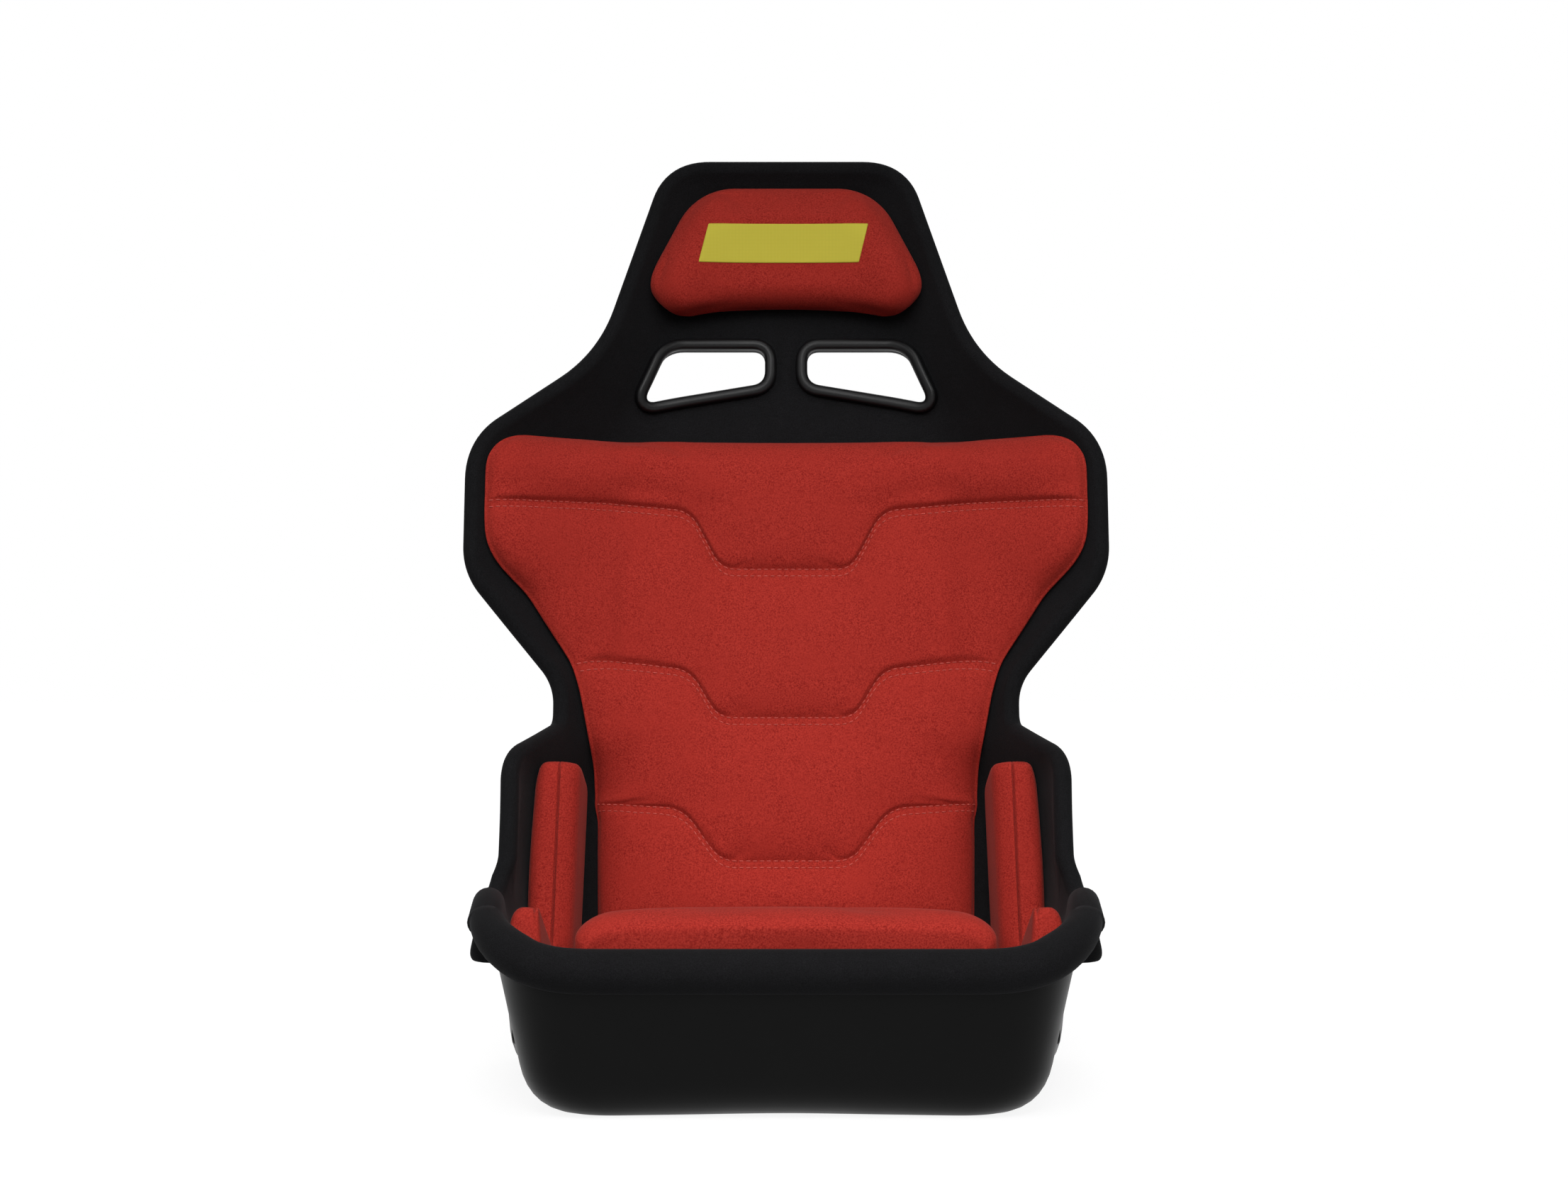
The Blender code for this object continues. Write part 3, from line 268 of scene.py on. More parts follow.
@dataclass(frozen=True)
class WovenTape(Finish):
    """A tape or badge cloth: two crossed thread sets that show as a fine grid of ribs."""

    base: str = "#000000"
    rib_top_highlight: str = "#000000"
    thread_mm: float = 1.2
    relief_mm: float = 0.2

    def dress(self, tree: Tree, shader: Any, place: Any) -> None:
        """Crossed ribs of thread in relief, with a painted highlight on their tops and painted shade in
        the gaps between them.

        Args:
            tree: Node tree of the material.
            shader: Its Principled BSDF node.
            place: Socket of Object coordinates.
        """
        # A wave is 2 pi / 20 units long at a scale of 1, so a band and the gap beside it are each one
        # thread wide. Real thread is about half as wide as drawn here.
        scale = per_metre(self.thread_mm) / 20 * math.pi
        warp, weft = [
            add(tree, "ShaderNodeTexWave", {"bands_direction": axis}, {
                "Vector": place, "Scale": scale, "Distortion": 0.4, "Detail": 1.0})
            for axis in ("X", "Z")]
        cross = add(tree, "ShaderNodeMath", {"operation": "MULTIPLY"}, {
            0: warp.outputs["Fac"], 1: weft.outputs["Fac"]})
        # The colour follows the ribs' height: painted highlight on their tops, painted shade in the
        # gaps between them.
        colour = add(tree, "ShaderNodeMix", {"data_type": "RGBA"}, {
            0: cross.outputs["Value"], 6: linear(self.base), 7: linear(self.rib_top_highlight)})
        bump = add(tree, "ShaderNodeBump", inputs={
            "Height": cross.outputs["Value"], "Distance": self.relief_mm / 1000, "Strength": 0.7})
        feed(tree, shader, {
            "Base Color": colour.outputs[2], "Normal": bump.outputs["Normal"],
            "Roughness": 0.8, "Specular IOR Level": 0.25})


# Short-pile polyester velour: near black, greyer where its pile is seen edge on.
VELOUR = PileFabric("polyester_velour_black", "velour_black", "#040405", "#18181A", "#0C0C0D",
                    1.0, 26.0, 0.045, "#D8D8DC", 0.35, 0.30)
# Brushed polyester suede: warm red, lighter fleck where the nap is ruffled.
SUEDE = PileFabric("polyester_suede_red", "suede_red", "#76140F", "#B0352A", "#9B2920",
                   1.4, 34.0, 0.08, "#FFB0A4", 0.45, 0.18)
# Pigmented gel coat on glass fibre: hard, satin gloss with a faint waviness from the mould.
GELCOAT = SmoothCoat("glass_fibre_gelcoat_black", "gelcoat_black", "#080808", "#0D0D0D",
                     0.40, 0.08, 7.0, 0.05, 0.09)
# Moulded ABS: fine spark-eroded grain, satin.
ABS = SmoothCoat("moulded_abs_black", "plastic_black", "#0D0D0E", "#141415",
                 0.42, 0.10, 0.9, 0.05, 0.25)
# Zinc-plated steel: pale grey metal with a slightly cloudy plating.
ZINC = SmoothCoat("zinc_plated_steel", "zinc_steel", "#B4B8BC", "#9DA1A5",
                  0.34, 0.12, 0.7, 0.01, 0.5, 1.0)
# In the woven finishes below, the second colour is a painted highlight on the rib tops, and the first
# is also the painted shade in the gaps.
# Nylon hook tape: rows of tiny hooks on a woven ground.
HOOK = WovenTape("nylon_hook_tape", "hook_tape", "#0E0E0F", "#2A2A2C", 1.6, 0.4)
# Polyester sewing thread: a paler red, twisted.
THREAD = WovenTape("polyester_thread_pale_red", "suede_red", "#B24A40", "#C85F54", 0.9, 0.1)
# Woven badge cloth: dull yellow twill.
BADGE = WovenTape("woven_badge_cloth_yellow", "suede_red", "#BCB03A", "#CABE46", 0.7, 0.05)


def lerp(low: Any, high: Any, share: Any) -> Any:
    """A value or point between two others."""
    return low + (high - low) * share


def ease(share: Any) -> Any:
    """A smooth step from 0 to 1."""
    share = np.clip(share, 0.0, 1.0)
    return share * share * (3 - 2 * share)


def unit(vectors: Array) -> Array:
    """Vectors of length 1."""
    return vectors / np.maximum(np.linalg.norm(vectors, axis=-1, keepdims=True), 1e-12)


def bend(start: Array, corner: Array, end: Array, steps: int) -> Array:
    """Points of a curve that leaves start towards a corner and arrives at end from it.

    Args:
        start: First point.
        corner: Point that it bends round.
        end: Last point.
        steps: Number of spans.

    Returns:
        The curve's points, both ends among them.
    """
    share = np.linspace(0.0, 1.0, steps + 1)[:, None]
    return start * (1 - share) ** 2 + corner * (2 * share * (1 - share)) + end * share ** 2


def rounded_path(corners: Array, blends: Sequence[float], legs: Sequence[int],
                 rounds: Sequence[int], sweep: float = 0.0) -> Array:
    """Points along a line of corners, each rounded over its blend length on both sides.

    Args:
        corners: The line's corners.
        blends: Blend length at each corner.
        legs: Spans on each straight leg.
        rounds: Spans round each inner corner.
        sweep: Share of its second leg that the first corner's rounding takes, if any.

    Returns:
        The line's points.
    """
    points = [corners[:1]]
    leave = corners[0]
    for index in range(1, len(corners)):
        corner = corners[index]
        shares = np.arange(1, legs[index - 1] + 1)[:, None] / legs[index - 1]
        if index == len(corners) - 1:
            points.append(lerp(leave, corner, shares))
            break
        towards = np.linalg.norm(corner - corners[index - 1])
        onwards = np.linalg.norm(corners[index + 1] - corner)
        near = past = min(blends[index], LINE_SHARE * towards, LINE_SHARE * onwards)
        if sweep and index == 1:
            near, past = min(blends[index], LINE_SHARE * towards), sweep * onwards
        if sweep and index == 2:
            near = past = min(near, 2 * LINE_SHARE * (1 - sweep) * towards)
        arrive = lerp(corner, corners[index - 1], near / towards)
        points.append(lerp(leave, arrive, shares))
        leave = lerp(corner, corners[index + 1], past / onwards)
        points.append(bend(arrive, corner, leave, rounds[index - 1])[1:])
    return np.concatenate(points)


def rounded_outline(corners: Array, blends: Sequence[float], steps: int) -> Array:
    """A closed outline with rounded corners.

    Args:
        corners: The outline's corners in order.
        blends: Blend length at each corner.
        steps: Spans round each corner.

    Returns:
        The outline's points.
    """
    points = []
    for index, corner in enumerate(corners):
        before = corners[index - 1]
        after = corners[(index + 1) % len(corners)]
        arrive, leave = [
            corner + unit(other - corner) * min(
                blends[index], OUTLINE_SHARE * float(np.linalg.norm(other - corner)))
            for other in (before, after)]
        points.append(bend(arrive, corner, leave, steps))
    return np.concatenate(points)


def refined(outline: Array, spacing: float) -> Array:
    """A closed outline with extra points along its longer sides.

    Args:
        outline: The outline's points.
        spacing: Longest span left.

    Returns:
        The finer outline.
    """
    points = []
    for index, point in enumerate(outline):
        after = outline[(index + 1) % len(outline)]
        steps = max(1, math.ceil(float(np.linalg.norm(after - point)) / spacing))
        points += [lerp(point, after, step / steps) for step in range(steps)]
    return np.array(points)


def linked(name: str, data: Any) -> Object:
    """A new object in the scene for a mesh, curve, lamp or camera."""
    item = bpy.data.objects.new(name, data)
    bpy.context.scene.collection.objects.link(item)
    return item


def crease(item: Object, sharp: float) -> None:
    """Shade an object smooth, apart from edges above an angle in degrees."""
    item.data.shade_smooth()
    if sharp < NO_CREASE:
        item.data.set_sharp_from_angle(angle=math.radians(sharp))


def smooth_object(name: str, points: Any, faces: Sequence[Sequence[int]],
                  sharp: float = NO_CREASE, weld: float = SEAM_WELD) -> Object:
    """A closed mesh object with doubles merged, faces outwards and smooth shading.

    Args:
        name: Name of the piece.
        points: Its points.
        faces: Its faces as point numbers.
        sharp: Angle in degrees above which an edge stays crisp.
        weld: Distance within which points are merged; 0 keeps every point.

    Returns:
        The linked object.
    """
    mesh = bpy.data.meshes.new(name)
    mesh.from_pydata([tuple(map(float, point)) for point in points], [], [list(f) for f in faces])
    work = bmesh.new()
    work.from_mesh(mesh)
    if weld:
        bmesh.ops.remove_doubles(work, verts=work.verts, dist=weld)
    bmesh.ops.recalc_face_normals(work, faces=work.faces)
    work.to_mesh(mesh)
    work.free()
    item = linked(name, mesh)
    crease(item, sharp)
    return item


def grid_faces(rows: int, columns: int, first: int = 0) -> list[tuple[int, ...]]:
    """Quads of a grid of points.

    Args:
        rows: Number of rows.
        columns: Points in a row.
        first: Number of the grid's first point.

    Returns:
        Faces as point numbers.
    """
    faces = []
    for row in range(rows - 1):
        for column in range(columns - 1):
            corner = first + row * columns + column
            faces.append((corner, corner + 1, corner + columns + 1, corner + columns))
    return faces


def both_halves(grid: Array) -> Array:
    """The points of a half grid and of its mirror image."""
    return np.concatenate((grid.reshape(-1, 3), (grid * MIRROR).reshape(-1, 3)))


def mirrored_skin(name: str, grid: Array) -> Object:
    """A closed skin from a half grid that meets its mirror image on the middle plane.

    Args:
        name: Name of the piece.
        grid: Rows of points on the sitter's left half.

    Returns:
        The whole piece.
    """
    rows, columns = grid.shape[:2]
    faces = grid_faces(rows, columns)
    faces += [face[::-1] for face in grid_faces(rows, columns, rows * columns)]
    return smooth_object(name, both_halves(grid), faces)


def guide_tree(grid: Array) -> BVHTree:
    """A search tree of a half grid and its mirror image, for other pieces to lie on."""
    rows, columns = grid.shape[:2]
    faces = grid_faces(rows, columns) + grid_faces(rows, columns, rows * columns)
    return BVHTree.FromPolygons(both_halves(grid).tolist(), faces)


def loft(name: str, rings: Any, closed: bool = False, sharp: float = HARD_CREASE) -> Object:
    """A closed body through rings of points.

    Args:
        name: Name of the piece.
        rings: Rings of equal length, in order.
        closed: Whether the last ring joins the first; otherwise both ends are capped.
        sharp: Angle in degrees above which an edge stays crisp.

    Returns:
        The linked object.
    """
    rings = np.asarray(rings)
    count, size = rings.shape[:2]
    faces: list[tuple[int, ...]] = []
    for row in range(count if closed else count - 1):
        here, there = row * size, ((row + 1) % count) * size
        for column in range(size):
            after = (column + 1) % size
            faces.append((here + column, here + after, there + after, there + column))
    if not closed:
        faces.append(tuple(range(size)))
        faces.append(tuple(range((count - 1) * size, count * size)))
    return smooth_object(name, rings.reshape(-1, 3), faces, sharp)


def joined(name: str, items: Sequence[Object]) -> Object:
    """Several objects as one piece.

    Args:
        name: Name of the piece.
        items: Objects to join; they are used up.

    Returns:
        The joined object.
    """
    work = bmesh.new()
    for item in items:
        work.from_mesh(item.data)
        bpy.data.objects.remove(item, do_unlink=True)
    mesh = bpy.data.meshes.new(name)
    work.to_mesh(mesh)
    work.free()
    whole = linked(name, mesh)
    crease(whole, HARD_CREASE)
    return whole


def final_mesh(item: Object) -> bpy.types.Mesh:
    """A plain mesh of what an object's modifiers make."""
    bpy.context.view_layer.update()
    final = item.evaluated_get(bpy.context.evaluated_depsgraph_get())
    return bpy.data.meshes.new_from_object(final)


def baked(item: Object) -> Object:
    """Turn an object's modifiers into plain mesh.

    Args:
        item: Object to change.

    Returns:
        The same object.
    """
    mesh = final_mesh(item)
    item.modifiers.clear()
    item.data = mesh
    mesh.name = item.name
    return item


def cut(item: Object, cutter: Object) -> None:
    """Cut a hole into an object; the cutter is used up.

    Args:
        item: Piece that takes the hole.
        cutter: Closed body in the shape of the hole.
    """
    boolean = item.modifiers.new("hole", "BOOLEAN")
    boolean.object = cutter
    boolean.solver = "EXACT"
    baked(item)
    bpy.data.objects.remove(cutter, do_unlink=True)
    work = bmesh.new()
    work.from_mesh(item.data)
    bmesh.ops.remove_doubles(work, verts=work.verts, dist=CUT_WELD)
    open_edges = [edge for edge in work.edges if edge.is_boundary]
    bmesh.ops.holes_fill(work, edges=open_edges, sides=4)
    work.to_mesh(item.data)
    work.free()


def surface_tree(item: Object) -> BVHTree:
    """A search tree of an object's own mesh."""
    mesh = item.data
    return BVHTree.FromPolygons([v.co for v in mesh.vertices], [p.vertices for p in mesh.polygons])


def cast(tree: BVHTree, start: Sequence[float],
         direction: Sequence[float]) -> tuple[Array, Array]:
    """Where a line meets a surface, or the nearest place if it misses.

    Args:
        tree: The surface's search tree.
        start: Start of the line.
        direction: Its direction.

    Returns:
        The point met and the normal that faces the line's start.
    """
    point, normal, _, _ = tree.ray_cast(Vector(start), Vector(direction))
    if point is None:
        point, normal, _, _ = tree.find_nearest(Vector(start))
    if normal.dot(Vector(direction)) > 0:
        normal = -normal
    return np.array(point), np.array(normal)


def laid(tree: BVHTree, starts: Array, direction: Sequence[float],
         rounds: int = 12) -> tuple[Array, Array]:
    """A grid of points dropped onto a surface.

    Args:
        tree: The surface's search tree.
        starts: Grid of points to start from.
        direction: Direction of the drop.
        rounds: How often the normals are evened.

    Returns:
        The grid on the surface and its normals, evened over their neighbours.
    """
    rows, columns = starts.shape[:2]
    points = np.zeros_like(starts)
    normals = np.zeros_like(starts)
    for row in range(rows):
        for column in range(columns):
            points[row, column], normals[row, column] = cast(tree, starts[row, column], direction)
    for _ in range(rounds):
        wide = np.pad(normals, ((1, 1), (1, 1), (0, 0)), mode="edge")
        around = wide[:-2, 1:-1] + wide[2:, 1:-1] + wide[1:-1, :-2] + wide[1:-1, 2:]
        normals = unit(normals + around)
    return points, normals


def outward(ring: Array, ups: Array) -> Array:
    """Directions that point out of a closed ring.

    Args:
        ring: The ring's points.
        ups: Direction at each point that stands across the ring.

    Returns:
        A direction of length 1 at each point.
    """
    along = np.roll(ring, -1, axis=0) - np.roll(ring, 1, axis=0)
    out = unit(np.cross(along, ups))
    return -out if np.sum(out * (ring - ring.mean(axis=0))) < 0 else out


def stuffed(name: str, under: Array, over: Array, swell: float,
            shares: Sequence[float] = (0.2, 0.5, 0.8)) -> Object:
    """A stuffed pad between an under and an over grid, its sides swelling outwards.

    Args:
        name: Name of the pad.
        under: Grid that rests on what carries the pad.
        over: Grid of the pad's face.
        swell: How far the sides stand out at half height.
        shares: Heights of the points on the sides, as shares of the pad's thickness.

    Returns:
        The pad; its under points come first, then its face's points.
    """
    rows, columns = under.shape[:2]
    border = [(0, c) for c in range(columns)] + [(r, columns - 1) for r in range(1, rows)]
    border += [(rows - 1, c) for c in range(columns - 2, -1, -1)]
    border += [(r, 0) for r in range(rows - 2, 0, -1)]
    low = np.array([under[place] for place in border])
    high = np.array([over[place] for place in border])
    out = outward(low, high - low)
    total, count = rows * columns, len(border)
    points = [under.reshape(-1, 3), over.reshape(-1, 3)]
    faces = [face[::-1] for face in grid_faces(rows, columns)]
    faces += grid_faces(rows, columns, total)
    levels = [[r * columns + c for r, c in border]]
    for level, share in enumerate(shares):
        points.append(lerp(low, high, share) + out * (swell * 4 * share * (1 - share)))
        levels.append([2 * total + level * count + step for step in range(count)])
    levels.append([total + index for index in levels[0]])
    for lower, upper in zip(levels, levels[1:]):
        for step in range(count):
            after = (step + 1) % count
            faces.append((lower[step], lower[after], upper[after], upper[step]))
    return smooth_object(name, np.concatenate(points), faces, weld=0.0)


def inflated(item: Object, pins: Sequence[int], cap: float, pressure: float = 4.0,
             frames: int = 20) -> Object:
    """Fill a pad by cloth simulation and keep the result as its mesh.

    Args:
        item: Closed pad.
        pins: Points that stay where they are: the resting face and the sewn lines.
        cap: Furthest that a point may move.
        pressure: Pressure inside the pad.
        frames: Length of the simulation.

    Returns:
        The same object.
    """
    count = len(item.data.vertices)
    start = np.empty(count * 3)
    item.data.vertices.foreach_get("co", start)
    group = item.vertex_groups.new(name="held")
    group.add([int(pin) for pin in pins], 1.0, "REPLACE")
    cloth = item.modifiers.new("filling", "CLOTH")
    cloth.settings.vertex_group_mass = "held"
    cloth.settings.use_pressure = True
    cloth.settings.uniform_pressure_force = pressure
    cloth.settings.effector_weights.gravity = 0.0
    cloth.point_cache.frame_start = 1
    cloth.point_cache.frame_end = frames
    scene = bpy.context.scene
    for step in range(1, frames + 1):
        scene.frame_set(step)
    final = item.evaluated_get(bpy.context.evaluated_depsgraph_get())
    end = np.empty(count * 3)
    final.data.vertices.foreach_get("co", end)
    item.modifiers.clear()
    item.vertex_groups.clear()
    scene.frame_set(1)
    move = (end - start).reshape(-1, 3)
    length = np.linalg.norm(move, axis=1, keepdims=True)
    move *= np.minimum(1.0, cap / np.maximum(length, 1e-9))
    LOG.info("%s filled: largest move %.1f mm, kept to %.1f mm",
             item.name, 1000 * length.max(), 1000 * cap)
    item.data.vertices.foreach_set("co", (start.reshape(-1, 3) + move).ravel())
    item.data.update()
    return item


def softened(item: Object) -> Object:
    """The pad after one subdivision."""
    subdivision = item.modifiers.new("soft", "SUBSURF")
    subdivision.levels = 1
    subdivision.render_levels = 1
    return baked(item)


def edge_steps(half: float, spacing: float) -> list[float]:
    """Distances from a pad's border to its middle, close together near the border.

    Args:
        half: Distance from the border to the middle.
        spacing: Spacing away from the border.

    Returns:
        Rising distances from 0 to half.
    """
    near = BORDER_STEPS[-1]
    rest = max(2, math.ceil((half - near) / spacing))
    return [*BORDER_STEPS, *[lerp(near, half, step / rest) for step in range(1, rest + 1)]]


def fullness(distance: Array, rounding: float, share: float) -> Array:
    """How full a pad is at a distance from its sewn border.

    Args:
        distance: Distances from the border.
        rounding: Radius over which the pad reaches its whole thickness.
        share: Part of the thickness at the border itself.

    Returns:
        Shares of the whole thickness.
    """
    near = np.clip(distance / rounding, 0.0, 1.0)
    return lerp(share, 1.0, np.sqrt(1 - (1 - near) ** 2))


def evened(xs: Array, values: Array, reach: float) -> Array:
    """A grid's values averaged along its rows; those on the border stay.

    Args:
        xs: Distances from the middle.
        values: Values of each point.
        reach: Distance over which they are averaged.

    Returns:
        The averaged values.
    """
    result = np.empty_like(values)
    for row, (x, value) in enumerate(zip(xs, values)):
        wide, full = [
            np.concatenate((2 * line[:1] - line[:0:-1], line, 2 * line[-1:] - line[-2::-1]))
            for line in (x, value)]
        weights = np.exp(-0.5 * ((x[:, None] - wide) / reach) ** 2) * np.gradient(wide)
        result[row] = weights @ full / weights.sum(axis=1, keepdims=True)
    return result


def raised(under: Array, normals: Array, fill: Array, lean: float, reach: float) -> Array:
    """A pad's face above the surface it rests on, with that surface's hollows evened out.

    Args:
        under: Grid that rests on the surface.
        normals: The surface's normals there.
        fill: Thickness of the pad at each point.
        lean: How far the pad leans back for each metre up.
        reach: Distance over which hollows are evened out.

    Returns:
        The grid of the pad's face.
    """
    base = under.copy()
    ahead = (under[..., 1] - lean * under[..., 2])[..., None]
    base[..., 1] = evened(under[..., 0], ahead, reach)[..., 0] + lean * under[..., 2]
    return base + unit(evened(under[..., 0], normals, reach)) * fill[..., None]


def nearest_edge(*distances: Array) -> Array:
    """The least of some distances from a pad's edges, rounded where two are alike."""
    return sum(np.maximum(distance, 1e-6) ** -4.0 for distance in distances) ** -0.25


def half_at(outline: Array, height: float, level: float = 1e-5) -> float:
    """Half width of an outline at a height.

    Args:
        outline: Half widths and heights, from the bottom up.
        height: Height to look at.
        level: A span that rises less than this is level.

    Returns:
        The widest place at that height.
    """
    widths = []
    for low, high in zip(outline, outline[1:]):
        if high[1] - low[1] < level:
            widths += [end[0] for end in (low, high) if abs(end[1] - height) < level]
        elif low[1] <= height <= high[1]:
            widths.append(lerp(low[0], high[0], (height - low[1]) / (high[1] - low[1])))
    return max(widths)


def stitch_tree() -> Tree:
    """Geometry Nodes that sew a curve: one thread capsule per stitch.

    Returns:
        The node group with inputs Pitch, Length, Radius and Thread.
    """
    tree = bpy.data.node_groups.new("SewnRow", "GeometryNodeTree")
    tree.interface.new_socket("Geometry", in_out="INPUT", socket_type="NodeSocketGeometry")
    for name in ("Pitch", "Length", "Radius"):
        tree.interface.new_socket(name, in_out="INPUT", socket_type="NodeSocketFloat")
    tree.interface.new_socket("Thread", in_out="INPUT", socket_type="NodeSocketMaterial")
    tree.interface.new_socket("Geometry", in_out="OUTPUT", socket_type="NodeSocketGeometry")
    given = add(tree, "NodeGroupInput").outputs
    spaced = add(tree, "GeometryNodeResampleCurve", {"mode": "LENGTH"}, {
        "Curve": given["Geometry"], "Length": given["Pitch"]})
    half = add(tree, "ShaderNodeMath", {"operation": "MULTIPLY"}, {0: given["Length"], 1: 0.5})
    size = add(tree, "ShaderNodeCombineXYZ", inputs={
        "X": given["Radius"], "Y": given["Radius"], "Z": half.outputs[0]})
    capsule = add(tree, "GeometryNodeMeshUVSphere", inputs={"Segments": 6, "Rings": 6, "Radius": 1.0})
    tangent = add(tree, "GeometryNodeInputTangent")
    turn = add(tree, "FunctionNodeAlignRotationToVector", {"axis": "Z"}, {"Vector": tangent.outputs[0]})
    sewn = add(tree, "GeometryNodeInstanceOnPoints", inputs={
        "Points": spaced.outputs["Curve"], "Instance": capsule.outputs["Mesh"],
        "Rotation": turn.outputs["Rotation"], "Scale": size.outputs["Vector"]})
    real = add(tree, "GeometryNodeRealizeInstances", inputs={"Geometry": sewn.outputs["Instances"]})
    smooth = add(tree, "GeometryNodeSetShadeSmooth", inputs={"Geometry": real.outputs["Geometry"]})
    dressed = add(tree, "GeometryNodeSetMaterial", inputs={
        "Geometry": smooth.outputs["Geometry"], "Material": given["Thread"]})
    add(tree, "NodeGroupOutput", inputs={"Geometry": dressed.outputs["Geometry"]})
    return tree


@dataclass
class Stitching:
    """Rows of lock stitch laid along lines on a surface."""

    pitch: float = 0.0063
    length: float = 0.0043
    radius: float = 0.00055
    tree: Tree | None = None

    def sew(self, name: str, lines: Sequence[Array], body: str) -> Object:
        """Sew stitches along lines and make them one piece.

        Args:
            name: Name of the piece.
            lines: Lines of points on the surface.
            body: Body that carries the stitches.

        Returns:
            The stitches as a plain mesh.
        """
        self.tree = self.tree or stitch_tree()
        curve = bpy.data.curves.new(name + "_line", "CURVE")
        curve.dimensions = "3D"
        for line in lines:
            spline = curve.splines.new("POLY")
            spline.points.add(len(line) - 1)
            for point, place in zip(spline.points, line):
                point.co = (*map(float, place), 1.0)
        row = linked(name + "_line", curve)
        nodes = row.modifiers.new("sewn", "NODES")
        nodes.node_group = self.tree
        values = {"Pitch": self.pitch, "Length": self.length, "Radius": self.radius,
                  "Thread": THREAD.material()}
        for item in self.tree.interface.items_tree:
            if item.in_out == "INPUT" and item.name in values:
                nodes[item.identifier] = values[item.name]
        mesh = final_mesh(row)
        row.modifiers.clear()
        bpy.data.objects.remove(row, do_unlink=True)
        item = linked(name, mesh)
        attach(item, body)
        return item


